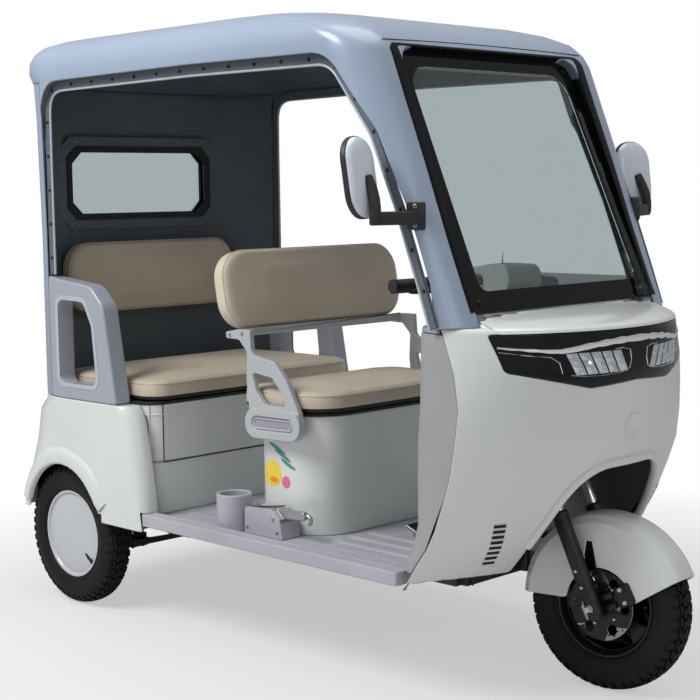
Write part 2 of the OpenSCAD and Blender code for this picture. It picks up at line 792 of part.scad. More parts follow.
module handlebar() {
    color("black") difference() {
        union() {
            steered_from_car() {
                for (s = [-1, 1]) {
                    bar(bar_point(s, 0), bar_point(s, bar_bend), 11);
                    bar(bar_point(s, bar_bend), bar_point(s, bar_half - 4), 11);
                    translate(bar_point(s, bar_bend)) sphere(r = 12);
                    bar([bar_x + 8, s * 188, bar_z - 8], [bar_x + 2, s * 216, bar_z - 8], 17);
                    bar([bar_x + 14, s * 210, bar_z - 12], [bar_x - 6, s * (bar_half - 24), bar_z - 24], 6);
                }
                bar([stem_x(bar_z - 52), 0, bar_z - 52], [bar_x, 0, bar_z + 2], 15);
            }
            stem_clamp(0);
        }
        steered() translate([0, 0, stem_top - 60]) cylinder(h = 60 + seat_gap, r = stem_r + run_gap);
    }
}

module grips() {
    color("black") steered_from_car() for (s = [-1, 1]) difference() {
        bar(bar_point(s, bar_bend + 16), bar_point(s, bar_half), 17);
        bar(bar_point(s, bar_bend), bar_point(s, bar_half - 4 + seat_gap), 11 + run_gap);
    }
}

module handlebar_cover() {
    color("gainsboro") difference() {
        steered_from_car() difference() {
            side_prism([[bar_x - 34, bar_z - 46, 14], [bar_x + 60, bar_z - 46, 14],
                [bar_x + 92, bar_z - 10, 30], [bar_x + 82, bar_z + 44, 26],
                [bar_x - 34, bar_z + 30, 14]], -74, 74);
            side_prism([[bar_x - 28, bar_z - 60, 8], [bar_x + 56, bar_z - 60, 8],
                [bar_x + 84, bar_z - 12, 24], [bar_x + 76, bar_z + 36, 20],
                [bar_x - 28, bar_z + 24, 8]], -68, 68);
            side_prism(box_rows(bar_x - 34, bar_x + 13, bar_z - 28, bar_z + 13, 12), -90, 90);
        }
        stem_clamp(seat_gap);
    }
}

// Mudguard seen from the side, with rows of [x, z, corner radius] about the axle
GUARD_FRONT = [[-18, 120, 0], [10, 0, 24], [40, -14, 10], [205, 92, 6], [300, 160, 0], [120, 300, 0],
    [-60, 300, 0]];
GUARD_REAR = [[-70, 300, 0], [-300, 200, 0], [-260, 8, 0], [-214, 2, 6], [-92, 6, 20], [-52, 60, 10],
    [-40, 150, 0]];
GUARD_JOIN = [[-120, 150, 0], [60, 150, 0], [60, 300, 0], [-120, 300, 0]];

module front_mudguard() {
    color("whitesmoke") steered_from_car() translate([front_x, 0, tyre_r]) intersection() {
        rotate([90, 0, 0]) rotate_extrude($fn = 96) polygon([[90, 52], [196, 52], [214, 40], [220, 20],
            [220, -20],
            [214, -40], [196, -52], [90, -52], [90, -48], [194, -48], [210, -38], [216, -19], [216, 19],
                [210, 38],
            [194, 48], [90, 48]]);
        union() {
            side_prism(GUARD_FRONT, -100, 100);
            side_prism(GUARD_REAR, -100, 100);
            side_prism(GUARD_JOIN, -100, 100);
        }
    }
    color("whitesmoke") steered() for (s = [-1, 1]) translate([fork_offset, s * 55, 120]) rotate([90, 0,
        0]) cylinder(h = 8, r = 9, center = true);
}

// Tyre profile: radius inside the tread, share of the half width
TYRE = [[-78, 0.72], [-66, 0.9], [-44, 1], [-20, 0.95], [-8, 0.78], [-2, 0.45], [0, 0.15]];

module tyre() {
    sides = [for (p = TYRE) [tyre_r + p[0], tread_r * p[1]]];
    rotate([90, 0, 0]) rotate_extrude($fn = 72) polygon(concat([for (p = sides) [p.x, -p.y]],
        [for (i = [len(sides) - 1 : -1 : 0]) sides[i]]));
}

module rim_barrel(half) {
    outer = tyre_r - 78 - seat_gap;
    rotate([90, 0, 0]) rotate_extrude($fn = 72) polygon([[outer, -half], [outer, half], [outer - 6, half],
        [outer - 14, half - 14],
        [outer - 14, 14 - half], [outer - 6, -half]]);
}

module front_tyre() { color("black") steered_from_car() translate([front_x, 0, tyre_r]) tyre(); }

module front_rim() {
    color("black") steered_from_car() translate([front_x, 0, tyre_r]) rotate([90, 0, 0]) difference() {
        union() {
            rotate([-90, 0, 0]) rim_barrel(32);
            cylinder(h = 96, r = 30, center = true);
            difference() {
                translate([0, 0, -4]) cylinder(h = 16, r = 116);
                for (k = [0 : 4]) rotate(72 * k) linear_extrude(60,
                    center = true) polygon(outline([[38, -8, 6], [104, -46, 12],
                    [112, 0, 0], [104, 46, 12], [38, 8, 6]]));
            }
            translate([0, 0, 40]) cylinder(h = 4, r = 84);
        }
        cylinder(h = 200, r = axle_r + run_gap, center = true);
        for (k = [0 : 5]) rotate(60 * k) translate([62, 0, 30]) cylinder(h = 30, r = 12);
    }
}

module rear_tyre(s) { translate([0, s * rear_track_half, tyre_r]) tyre(); }

module rear_rim(s) {
    translate([0, s * rear_track_half, tyre_r]) rotate([-90 * s, 0, 0]) {
        rotate([90, 0, 0]) rim_barrel(32);
        translate([0, 0, 12]) cylinder(h = 6, r = 116);
        translate([0, 0, 18]) rotate_extrude($fn = 72) polygon([[0, 0], [116, 0], [120, 6], [104, 12],
            [60, 15], [0, 16]]);
        translate([0, 0, -52]) cylinder(h = 66, r = 34);
        translate([0, 0, -130]) cylinder(h = 140, r = shaft_r);
    }
}

module rear_tyre_right() { color("black") rear_tyre(-1); }
module rear_tyre_left() { color("black") rear_tyre(1); }
module rear_rim_right() { color("gainsboro") rear_rim(-1); }
module rear_rim_left() { color("gainsboro") rear_rim(1); }

module wiper() {
    color("black") screen_place() {
        y = screen_half_low - 43;
        translate([glass + 2, y, 20]) rotate([0, 90, 0]) cylinder(h = 14, r = 12);
        translate([glass + 8, y - 6, 20]) cube([8, 14, 330]);
        translate([glass + seat_gap, y - 4, 120]) cube([10, 8, 400]);
        translate([glass + seat_gap, y - 10, 8]) cube([4, 30, 24]);
    }
}

module mirrors() {
    x = front_x - 255;
    y = body_half + 65;
    color("black") for (s = [-1, 1]) {
        difference() {
            union() {
                translate([x - 51, s * (body_half - 102), 1128]) rotate(s * 40) translate([88, -22,
                    -32]) cube([30, 44, 64]);
                bar([x + 32, s * (body_half - 33), 1128], [x, s * y, 1122], 9);
            }
            cab_solid(-seat_gap, -seat_gap, 600, 0);
        }
        bar([x, s * y, 1116], [x, s * y, 1160], 9);
        bar([x, s * y, 1150], [x - 30, s * y, 1206], 9);
        translate([x - 40, s * y, 1215]) rotate([0, -8, s * -14]) front_prism(box_rows(-58, 58, -92, 92, 54),
            -16, 16);
    }
}

module in_place() { translate([-mid_x, 0, 0]) children(); }

in_place() chassis_frame();
in_place() floor_pan();
in_place() front_cowl();
in_place() inner_liner();
in_place() dashboard();
in_place() headlamp();
in_place() roof_shell();
in_place() rear_wall();
in_place() windscreen();
in_place() windscreen_border();
in_place() rear_window();
in_place() side_guard_right();
in_place() side_guard_left();
in_place() rear_fender_right();
in_place() rear_fender_left();
in_place() rear_panel();
in_place() tail_lamps();
in_place() plate_holder();
in_place() rear_seat_box();
in_place() rear_backrest();
in_place() driver_seat_box();
in_place() driver_seat_frame();
in_place() driver_backrest();
in_place() seat_seals();
in_place() cup_holder();
in_place() parking_brake();
in_place() brake_pedal();
in_place() rear_axle();
in_place() leaf_springs();
in_place() battery_pack();
in_place() wiper();
in_place() mirrors();
in_place() rear_cushion();
in_place() driver_cushion();
in_place() fork();
in_place() handlebar();
in_place() grips();
in_place() handlebar_cover();
in_place() front_mudguard();
in_place() front_tyre();
in_place() front_rim();
in_place() rear_tyre_right();
in_place() rear_rim_right();
in_place() rear_tyre_left();
in_place() rear_rim_left();
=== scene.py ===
import math
import random

import bmesh
import bpy
from mathutils import Matrix, Vector
from mathutils.bvhtree import BVHTree


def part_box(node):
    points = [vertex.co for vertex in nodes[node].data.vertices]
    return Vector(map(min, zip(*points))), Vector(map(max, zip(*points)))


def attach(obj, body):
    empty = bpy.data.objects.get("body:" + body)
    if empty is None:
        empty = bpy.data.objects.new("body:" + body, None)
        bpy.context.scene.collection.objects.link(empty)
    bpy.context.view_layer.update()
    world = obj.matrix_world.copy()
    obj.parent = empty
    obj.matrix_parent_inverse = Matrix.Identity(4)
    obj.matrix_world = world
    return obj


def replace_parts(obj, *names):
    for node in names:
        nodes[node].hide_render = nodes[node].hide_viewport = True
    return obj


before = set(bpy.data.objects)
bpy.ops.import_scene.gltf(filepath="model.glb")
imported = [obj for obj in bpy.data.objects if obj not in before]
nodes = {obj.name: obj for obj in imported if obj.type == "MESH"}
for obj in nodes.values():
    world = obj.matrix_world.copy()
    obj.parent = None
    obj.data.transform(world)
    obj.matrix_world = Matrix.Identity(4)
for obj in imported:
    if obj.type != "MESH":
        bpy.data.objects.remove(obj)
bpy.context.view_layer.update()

# Cab roof and front pillars: one double-skinned moulding, sprayed a pearly blue-grey outside; its inside faces
# take a dark slate colour that is painted shade, for the shade under the roof. It is bolted to the cowl and to the rear
# wall.
low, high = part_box("rear_tyre_right")
axle_x = (low.x + high.x) / 2


def at(x, y, z):
    """A point given in millimetres ahead of the rear axle, to the vehicle's left and up."""
    return Vector((x / 1000 + axle_x, y / 1000, z / 1000))


def tint(red, green, blue):
    """A colour as seen, 0 to 255, turned into the linear values of a shader."""
    parts = [c / 255 for c in (red, green, blue)]
    return tuple(c / 12.92 if c < 0.04045 else ((c + 0.055) / 1.055) ** 2.4 for c in parts) + (1,)


class Wave:
    """A value that changes over a surface. Maths on it adds the shader's own maths nodes."""

    def __init__(self, tree, socket):
        self.tree, self.socket = tree, socket

    def maths(self, operation, *values):
        made = self.tree.nodes.new("ShaderNodeMath")
        made.operation = operation
        for slot, value in zip(made.inputs, values):
            if isinstance(value, Wave):
                self.tree.links.new(value.socket, slot)
            else:
                slot.default_value = value
        return Wave(self.tree, made.outputs[0])

    def __add__(self, other):
        return self.maths("ADD", self, other)

    def __sub__(self, other):
        return self.maths("SUBTRACT", self, other)

    def __rsub__(self, other):
        return self.maths("SUBTRACT", other, self)

    def __mul__(self, other):
        return self.maths("MULTIPLY", self, other)

    def __gt__(self, other):
        return self.maths("GREATER_THAN", self, other)

    def __lt__(self, other):
        return self.maths("LESS_THAN", self, other)

    def __abs__(self):
        return self.maths("ABSOLUTE", self)

    __radd__, __rmul__ = __add__, __mul__

    def held(self, low, high):
        """The value stretched so that low to high becomes 0 to 1, and held there."""
        spread = (self - low) * (1 / (high - low))
        return spread.maths("MINIMUM", spread.maths("MAXIMUM", spread, 0), 1)


class Finish:
    """One material: its constants go on the shader, and what varies is fed to it."""

    def __init__(self, name, colour, rough=0.5, **constants):
        self.material = bpy.data.materials.new(name)
        self.material.use_nodes = True
        self.material.diffuse_color = colour
        self.tree = self.material.node_tree
        self.shader = self.tree.nodes["Principled BSDF"]
        self.shader.inputs["Base Color"].default_value = colour
        self.shader.inputs["Roughness"].default_value = rough
        for label, value in constants.items():
            self.shader.inputs[label.replace("_", " ").title().replace("Ior", "IOR")].default_value = value
        self.place = self.node("ShaderNodeTexCoord")("Object")

    def node(self, kind, settings=None, sockets=None):
        """Adds a node, and returns a call that gives its outputs by name."""
        made = self.tree.nodes.new(kind)
        for label, value in (settings or {}).items():
            if label == "stops":
                ramp = made.color_ramp
                while len(ramp.elements) < len(value):
                    ramp.elements.new(1)
                for element, (spot, colour) in zip(ramp.elements, value):
                    element.position, element.color = spot, colour
            else:
                setattr(made, label, value)
        for label, value in (sockets or {}).items():
            if isinstance(value, Wave):
                self.tree.links.new(value.socket, made.inputs[label])
            else:
                made.inputs[label].default_value = value
        return lambda label: Wave(self.tree, made.outputs[label])

    def feed(self, **sockets):
        for label, value in sockets.items():
            slot = self.shader.inputs[label.replace("_", " ").title()]
            self.tree.links.new(value.socket, slot)
        return self

    def noise(self, scale, detail=3, rough=0.5, stretch=(1, 1, 1)):
        moved = self.node("ShaderNodeMapping", {}, {"Vector": self.place, "Scale": stretch})("Vector")
        return self.node("ShaderNodeTexNoise", {}, {
            "Vector": moved, "Scale": scale, "Detail": detail, "Roughness": rough})("Fac")

    def along(self, axis):
        return self.node("ShaderNodeSeparateXYZ", {}, {"Vector": self.place})(axis)

    def mix(self, share, first, second):
        made = self.tree.nodes.new("ShaderNodeMix")
        made.data_type = "RGBA"
        for slot, value in ((0, share), (6, first), (7, second)):
            if isinstance(value, Wave):
                self.tree.links.new(value.socket, made.inputs[slot])
            else:
                made.inputs[slot].default_value = value
        return Wave(self.tree, made.outputs[2])

    def bump(self, height, depth, strength=1.0):
        made = self.node("ShaderNodeBump", {}, {"Height": height, "Distance": depth, "Strength": strength})
        return self.feed(Normal=made("Normal"))


def gloss_panel(name, colour, shade, rough=0.3, coat=0.55):
    """Sprayed or moulded-in gloss: a slow drift of shade, patches darker, warmer and rougher towards the bottom, and
    orange peel.
    """
    made = Finish(name, colour, rough, coat_weight=coat, coat_roughness=0.1)
    drift = made.noise(2.2, 2).held(0.35, 0.7)
    # Patches of darker, warmer colour and more roughness towards the bottom, fading out between 0.20 m and 0.42 m up.
    low_patches = (1 - made.along("Z").held(0.20, 0.42)) * made.noise(5, 3, 0.5).held(0.3, 0.9) * 0.16
    body = made.mix(drift * 0.6, colour, shade)
    made.feed(Base_Color=made.mix(low_patches, body, tint(168, 163, 152)))
    made.feed(Roughness=made.noise(7, 2, 0.5).held(0.3, 0.8) * 0.05 + (rough - 0.03) + low_patches * 0.4)
    return made.bump(made.noise(240, 2), 0.00005, 0.2)


def moulding(name, node, finishes, edge=2.5, crease=32, body="body", inside=None):
    """A finished copy of a CAD moulding: facets smoothed, flats joined and edges rounded."""
    shape = bmesh.new()
    shape.from_mesh(nodes[node].data)
    bmesh.ops.remove_doubles(shape, verts=shape.verts, dist=0.0002)
    bmesh.ops.dissolve_degenerate(shape, edges=shape.edges, dist=0.0002)
    bmesh.ops.dissolve_limit(shape, angle_limit=math.radians(0.4), verts=shape.verts, edges=shape.edges)
    for face in shape.faces:
        face.smooth = True
        if inside and inside(face.calc_center_median(), face.normal):
            face.material_index = 1
    mesh = bpy.data.meshes.new(name)
    shape.to_mesh(mesh)
    shape.free()
    piece = bpy.data.objects.new(name, mesh)
    bpy.context.scene.collection.objects.link(piece)
    for finish in finishes:
        mesh.materials.append(finish.material)
    if edge:
        rounding = piece.modifiers.new("edges", "BEVEL")
        rounding.width, rounding.segments = edge / 1000, 2
        rounding.limit_method, rounding.angle_limit = "ANGLE", math.radians(crease)
        rounding.use_clamp_overlap = False
    piece.modifiers.new("shading", "WEIGHTED_NORMAL").keep_sharp = False
    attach(piece, body)
    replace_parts(piece, node)
    return piece


cab_paint = gloss_panel("cab_blue_grey", tint(152, 167, 188), tint(141, 156, 178), 0.34, 0.3)
# Painted shade: this dark slate colour on the cab's inside faces stands in for the shade inside the cab.
slate_and_cab_shade = Finish("slate_and_painted_cab_shade", tint(70, 78, 88), 0.6)
slate_and_cab_shade.feed(Base_Color=slate_and_cab_shade.mix(slate_and_cab_shade.noise(5, 3), tint(80, 90, 98), tint(100, 110, 118)))
slate_and_cab_shade.bump(slate_and_cab_shade.noise(420, 2), 0.0003, 0.5)
cab_core = at(560, 0, 1180)


def faces_cab(middle, normal):
    """True for what looks into the cab, the door edges among them: these faces take the painted shade."""
    return normal.dot((cab_core - middle).normalized()) > 0.12


roof = moulding("cab_roof", "roof_shell", [cab_paint, slate_and_cab_shade], 4, inside=faces_cab)

# Rear wall: the cab's back, a double skin in the same blue-grey, its inside faces in the dark slate painted shade. A
# fixed window sits in a black rubber gasket, inside a raised surround that is screwed to the inside skin and takes the
# same painted shade.
rear_wall = moulding("cab_rear_wall", "rear_wall", [cab_paint, slate_and_cab_shade], 4, inside=faces_cab)

rubber = Finish("black_rubber", tint(24, 25, 27), 0.62)
rubber.feed(Roughness=rubber.noise(60, 4).held(0.3, 0.7) * 0.25 + 0.5)
rubber.bump(rubber.noise(700, 2), 0.0002, 0.4)
clear_glass = Finish("clear_glass", (0.36, 0.42, 0.43, 1), 0.02, transmission_weight=1.0, ior=1.45)
clear_glass.feed(Roughness=clear_glass.noise(14, 4, 0.7).held(0.62, 0.9) * 0.06 + 0.015)
steel = Finish("bright_screw", tint(176, 178, 182), 0.3, metallic=1.0)
steel.feed(Roughness=steel.noise(300, 3).held(0.3, 0.8) * 0.2 + 0.2)


def dress(node, finish, slot=None):
    """A CAD node whose shape is right keeps it and takes a finish."""
    nodes[node].data.materials.clear()
    nodes[node].data.materials.append(finish.material)


def round_loop(corners, radius, steps=6):
    """The corners of a flat outline rounded off, as 2D points. A corner may bring its own radius."""
    points = []
    for i, corner in enumerate(corners):
        here = Vector(corner[:2])
        back = (Vector(corners[i - 1][:2]) - here).normalized()
        on = (Vector(corners[(i + 1) % len(corners)][:2]) - here).normalized()
        reach = corner[2] if len(corner) > 2 else radius
        half = math.acos(max(-1, min(1, back.dot(on)))) / 2
        middle = here + (back + on).normalized() * reach / math.sin(half)
        first = here + back * reach / math.tan(half) - middle
        last = here + on * reach / math.tan(half) - middle
        swing = math.atan2(first.x * last.y - first.y * last.x, first.dot(last))
        for k in range(steps + 1):
            points.append(middle + Matrix.Rotation(swing * k / steps, 2) @ first)
    return points


def shown(name, shape, finishes, body="body", slot=None, smooth=True, crease=None):
    """Turns a finished bmesh into a piece that rides on a body."""
    mesh = bpy.data.meshes.new(name)
    for face in shape.faces:
        face.smooth = smooth
    shape.to_mesh(mesh)
    shape.free()
    for finish in finishes:
        mesh.materials.append(finish.material)
    piece = bpy.data.objects.new(name, mesh)
    bpy.context.scene.collection.objects.link(piece)
    if crease:
        mesh.set_sharp_from_angle(angle=math.radians(crease))
    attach(piece, body)
    return piece if slot else piece


def band(shape, outer, inner, low, high, place):
    """A flat ring between two outlines of as many points, low to high along its own normal."""
    rings = [[shape.verts.new(place(p.x, p.y, h)) for p in loop]
             for loop, h in ((outer, low), (outer, high), (inner, high), (inner, low))]
    for a, b in zip(rings, rings[1:] + rings[:1]):
        for i in range(len(a)):
            shape.faces.new((a[i - 1], a[i], b[i], b[i - 1]))
    bmesh.ops.recalc_face_normals(shape, faces=shape.faces)


def studs(shape, spots, normal, radius, height, sides=10):
    """Domed screw heads at a list of points, each standing along its normal."""
    for i, spot in enumerate(spots):
        lean = (normal[i] if isinstance(normal, list) else normal).to_track_quat("Z", "Y").to_matrix().to_4x4()
        bmesh.ops.create_cone(shape, cap_ends=True, segments=sides, radius1=radius, radius2=radius * 0.62,
                              depth=height, matrix=Matrix.Translation(spot) @ lean)


window_half, window_low, window_high, window_cut = 272, 1112, 1326, 34


def window_loop(grow, cut=window_cut, radius=8):
    w, lo, hi = window_half + grow, window_low - grow, window_high + grow
    return round_loop([(-w, lo + cut), (-w + cut, lo), (w - cut, lo), (w, lo + cut),
                       (w, hi - cut), (w - cut, hi), (-w + cut, hi), (-w, hi - cut)], radius, 4)


shape = bmesh.new()
band(shape, window_loop(3), window_loop(-15), -193.6, -188, lambda y, z, x: at(x, y, z))
band(shape, window_loop(-1), window_loop(-14), -224.6, -214, lambda y, z, x: at(x, y, z))
shown("rear_window_gasket", shape, [rubber], slot="black_trim", crease=40)
shape = bmesh.new()
# The surround takes the same dark slate painted shade as the cab's inside faces.
band(shape, window_loop(32, 40, 20), window_loop(6), -193.2, -189, lambda y, z, x: at(x, y, z))
shown("rear_window_surround", shape, [slate_and_cab_shade], slot="cab_panel", crease=40)
around = window_loop(20, 40, 16)
shape = bmesh.new()
spots = [at(-187.5, y, z) for y in range(-240, 241, 96) for z in (window_low - 20, window_high + 20)]
spots += [at(-187.5, y, z) for y in (-292, 292) for z in (1165, 1270)]
studs(shape, spots, Vector((1, 0, 0)), 0.0045, 0.003)
shown("rear_window_screws", shape, [steel], slot="bare_metal")
dress("rear_window", clear_glass)

# Windscreen: laminated glass bonded into the cab, with a black fired-on band round its edge that
# hides the glue, and four screw caps. Its wiper is fixed at the foot, on the vehicle's left.
lean = math.radians(23.7)
screen_foot = at(1464, 0, 906)


def on_screen(across, up, out):
    """A point in the glass's own plane, in millimetres: across to the left, up its slope, out of it."""
    return screen_foot + Vector((out * math.cos(lean) - up * math.sin(lean), across,
                                 out * math.sin(lean) + up * math.cos(lean))) / 1000


black_gloss = Finish("black_band", tint(11, 12, 15), 0.1, specular_ior_level=0.22)
black_gloss.feed(Roughness=black_gloss.noise(12, 4, 0.7).held(0.5, 0.9) * 0.12 + 0.07)
shape = bmesh.new()
band(shape, round_loop([(-342, 1), (342, 1), (332, 654), (-332, 654)], 2, 8),
     round_loop([(-303, 52, 26), (303, 52, 26), (295, 617, 62), (-295, 617, 62)], 8, 8), -2.6, 5, on_screen)
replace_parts(shown("windscreen_black_band", shape, [black_gloss], slot="black_trim", crease=40), "windscreen_border")
shape = bmesh.new()
loop = round_loop([(-302.6, 52.4, 25.6), (302.6, 52.4, 25.6), (294.6, 616.6, 61.6), (-294.6, 616.6, 61.6)], 8, 8)
front, back = [[shape.verts.new(on_screen(p.x, p.y, out)) for p in loop] for out in (4.7, 0.3)]
shape.faces.new(front)
shape.faces.new(back[::-1])
for i in range(len(loop)):
    shape.faces.new((front[i], front[i - 1], back[i - 1], back[i]))
bmesh.ops.recalc_face_normals(shape, faces=shape.faces)
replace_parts(shown("windscreen_pane", shape, [clear_glass], slot="glass", crease=40), "windscreen")


def skin_of(piece):
    """A search tree of a piece's surface, for laying trim on it."""
    shape = bmesh.new()
    shape.from_mesh(piece.data)
    found = BVHTree.FromBMesh(shape)
    shape.free()
    return found


def laid(skin, start, direction, lift=0.0):
    """Where a ray meets a surface, and the surface's outward direction there."""
    spot, normal, _, _ = skin.ray_cast(start, direction)
    if spot is None:
        return None, None
    if normal.dot(direction) > 0:
        normal = -normal
    return spot + normal * lift, normal


roof_skin = skin_of(roof)
glass_way = (on_screen(0, 0, 0) - on_screen(0, 0, 100)).normalized()


def even_steps(points, count):
    """A path cut again into steps of equal length."""
    runs = [0.0]
    for a, b in zip(points, points[1:]):
        runs.append(runs[-1] + (b - a).length)
    path, k = [], 0
    for i in range(count + 1):
        goal = runs[-1] * i / count
        while k < len(points) - 2 and runs[k + 1] < goal:
            k += 1
        path.append(points[k].lerp(points[k + 1], (goal - runs[k]) / max(runs[k + 1] - runs[k], 1e-9)))
    return path


rows = []
for low_half, high_half, top, radius, lift in (
        (342.5, 332.5, 654.5, 3, None), (343.5, 333.5, 655.5, 4, 0.5), (348, 341, 657, 10, 1.2), (353, 349, 659, 16, 1.2),
        (357, 357, 660, 20, 1.2), (359, 361, 661, 23, 1.0), (361, 364, 663, 25, 0.1)):
    loop = round_loop([(-low_half, 4), (low_half, 4), (high_half, top, radius), (-high_half, top, radius)], 0.5, 10)
    row = []
    for p in even_steps(loop[21:] + loop[:1], 170):
        inner = on_screen(p.x, p.y, 4.9)
        spot, normal = laid(roof_skin, on_screen(p.x, p.y, 200), glass_way)
        if lift is None or spot is None or (spot - inner).dot(glass_way) > 0:
            spot, lift_here = inner, 0
        else:
            lift_here = lift
        row.append(spot - glass_way * lift_here / 1000)
    rows.append(row)
shape = bmesh.new()
marks = [[shape.verts.new(p) for p in row] for row in rows]
for a, b in zip(marks, marks[1:]):
    for i in range(1, len(a)):
        shape.faces.new((a[i - 1], a[i], b[i], b[i - 1]))
bmesh.ops.recalc_face_normals(shape, faces=shape.faces)
shown("windscreen_outer_band", shape, [black_gloss], slot="black_trim", crease=50)
shape = bmesh.new()
for y, up in ((-318, 22), (318, 22), (-308, 632), (308, 632)):
    turn = Matrix.Translation(on_screen(y, up, 7.5)) @ Matrix.Rotation(math.pi / 2 - lean, 4, "Y")
    bmesh.ops.create_cone(shape, cap_ends=True, segments=24, radius1=0.011, radius2=0.008, depth=0.005, matrix=turn)
shown("windscreen_caps", shape, [black_gloss], slot="black_trim", crease=50)

# Side guards: hollow moulded arm rests screwed between the rear wall and the fenders. Each has a
# window with a bevelled edge, a rounded grip rail along its top and a flat front post.
guard_paint = gloss_panel("guard_blue_grey", tint(162, 167, 178), tint(151, 156, 168), 0.36, 0.35)
rail_paint = gloss_panel("guard_rail_light", tint(182, 187, 197), tint(170, 176, 187), 0.36, 0.35)


def rods(name, runs, radius, finishes, body="body", slot=None, closed=False, steps=6):
    """Round rods in one piece, each through a list of points."""
    line = bpy.data.curves.new(name, "CURVE")
    line.dimensions, line.bevel_depth, line.bevel_resolution = "3D", radius, steps
    line.use_fill_caps = True
    for points in runs:
        run = line.splines.new("POLY")
        run.points.add(len(points) - 1)
        for point, spot in zip(run.points, points):
            point.co = (*spot, 1)
        run.use_cyclic_u = closed
    holder = bpy.data.objects.new(name, line)
    bpy.context.scene.collection.objects.link(holder)
    bpy.context.view_layer.update()
    mesh = bpy.data.meshes.new_from_object(holder.evaluated_get(bpy.context.evaluated_depsgraph_get()))
    bpy.data.objects.remove(holder)
    mesh.name = name
    mesh.materials.clear()
    for finish in finishes:
        mesh.materials.append(finish.material)
    mesh.shade_smooth()
    piece = bpy.data.objects.new(name, mesh)
    bpy.context.scene.collection.objects.link(piece)
    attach(piece, body)
    return piece if slot else piece


def tube(name, points, radius, finishes, **more):
    return rods(name, [points], radius, finishes, **more)


def smooth_path(points, steps=8):
    """Points on one smooth curve through the given ones."""
    ends = [points[0] * 2 - points[1]] + list(points) + [points[-1] * 2 - points[-2]]
    path = []
    for a, b, c, d in zip(ends, ends[1:], ends[2:], ends[3:]):
        for k in range(steps):
            t = k / steps
            path.append(0.5 * ((2 * b) + (c - a) * t + (2 * a - 5 * b + 4 * c - d) * t * t
                               + (3 * b - a - 3 * c + d) * t ** 3))
    return path + [points[-1]]


for side, word in ((-1, "right"), (1, "left")):
    moulding(f"guard_{word}", f"side_guard_{word}", [guard_paint], 7, crease=50)
    hole = [(4, 652, 24), (182, 652, 24), (164, 820, 40), (128, 886, 30), (4, 890, 24)]
    shape = bmesh.new()
    wide = [(-9, 641, 32), (195, 641, 32), (176, 824, 44), (137, 898, 36), (-9, 903, 32)]
    band(shape, round_loop(wide, 8, 8), round_loop(hole, 8, 8), 0, 1,
         lambda x, z, h, s=side: at(x, s * (454.6 + 1.6 * h), z))
    shown(f"guard_window_rim_{word}", shape, [rail_paint], slot="cab_panel", crease=40)

# Front cowl: one large gloss off-white moulding round the nose, screwed to the floor pan and under the
# windscreen. The wheel arch has a rolled lip, and a louvred air inlet is cut in each lower corner.
white_gloss = gloss_panel("white_gloss", tint(220, 224, 220), tint(210, 215, 212), 0.26, 0.6)
# Near-black: the real colour of the black seams, screws, bolts and notches; also painted shadow where it fills the
# inside of the nose, the wheel arches, the air inlets and the disc's holes.
black_and_painted_shadow = Finish("black_parts_and_painted_shadow", tint(20, 20, 22), 0.8)
black_and_painted_shadow.feed(Base_Color=black_and_painted_shadow.mix(black_and_painted_shadow.noise(40, 3), tint(14, 14, 16), tint(34, 33, 32)))
# The cowl's inside faces, looking into the nose, take the near-black as painted shade.
cowl = moulding("front_cowl_moulding", "front_cowl", [white_gloss, black_and_painted_shadow], 3.5, crease=38,
                inside=lambda c, n: n.dot((at(1330, 0, 560) - c).normalized()) > 0.35)
cowl_skin = skin_of(cowl)
backward = Vector((-1, 0, 0))
cap_rows = ((866, 1663, 424, 1438), (870.5, 1661.5, 423.5, 1436), (874.5, 1657, 422.6, 1433), (877, 1652, 422, 1430),
            (881, 1636, 418.5, 1428), (888, 1600, 412, 1424), (893, 1562, 406.5, 1420), (898, 1520, 400, 1416),
            (901.5, 1496, 394, 1413), (904, 1479, 388, 1410))
shape = bmesh.new()
rows = []
for level, nose, half, door in cap_rows:
    height = nose - door
    radius = (half * half + height * height) / (2 * height)
    row = []
    for k in range(61):
        y = 345.5 * (k / 30 - 1)
        x = nose - radius + math.sqrt(radius * radius - y * y)
        behind = 1464 - (level - 906) * math.tan(math.radians(23.7)) + 9
        row.append((max(x, behind), y, level + 0.9, x < behind))
    rows.append(row)
marks = [[shape.verts.new(at(x, y, z)) for x, y, z, _ in row] for row in rows]
for j in range(len(rows) - 1):
    for k in range(60):
        if not all(rows[a][b][3] for a, b in ((j, k), (j, k + 1), (j + 1, k), (j + 1, k + 1))):
            shape.faces.new((marks[j][k], marks[j][k + 1], marks[j + 1][k + 1], marks[j + 1][k]))
bmesh.ops.delete(shape, geom=[v for v in shape.verts if not v.link_faces], context="VERTS")
bmesh.ops.recalc_face_normals(shape, faces=shape.faces)
cap = shown("front_cowl_top", shape, [white_gloss], slot="white_panel")
soft = cap.modifiers.new("soft", "SUBSURF")
soft.levels = soft.render_levels = 1
arch = round_loop([(-205, 262), (-212, 380, 60), (-150, 548, 120), (150, 548, 120), (212, 380, 60), (205, 262)], 1, 12)
arch = [p for p in arch if p.y > 268]
lip = []
for p in even_steps(arch, 96):
    spot, normal = laid(cowl_skin, at(2000, p.x * 1.03, p.y + (7 if p.y > 400 else 0)), backward)
    if spot and (not lip or abs(spot.x - lip[-1].x) < 0.03):
        lip.append(spot)
tube("wheel_arch_lip", lip, 0.0105, [white_gloss], slot="white_panel")


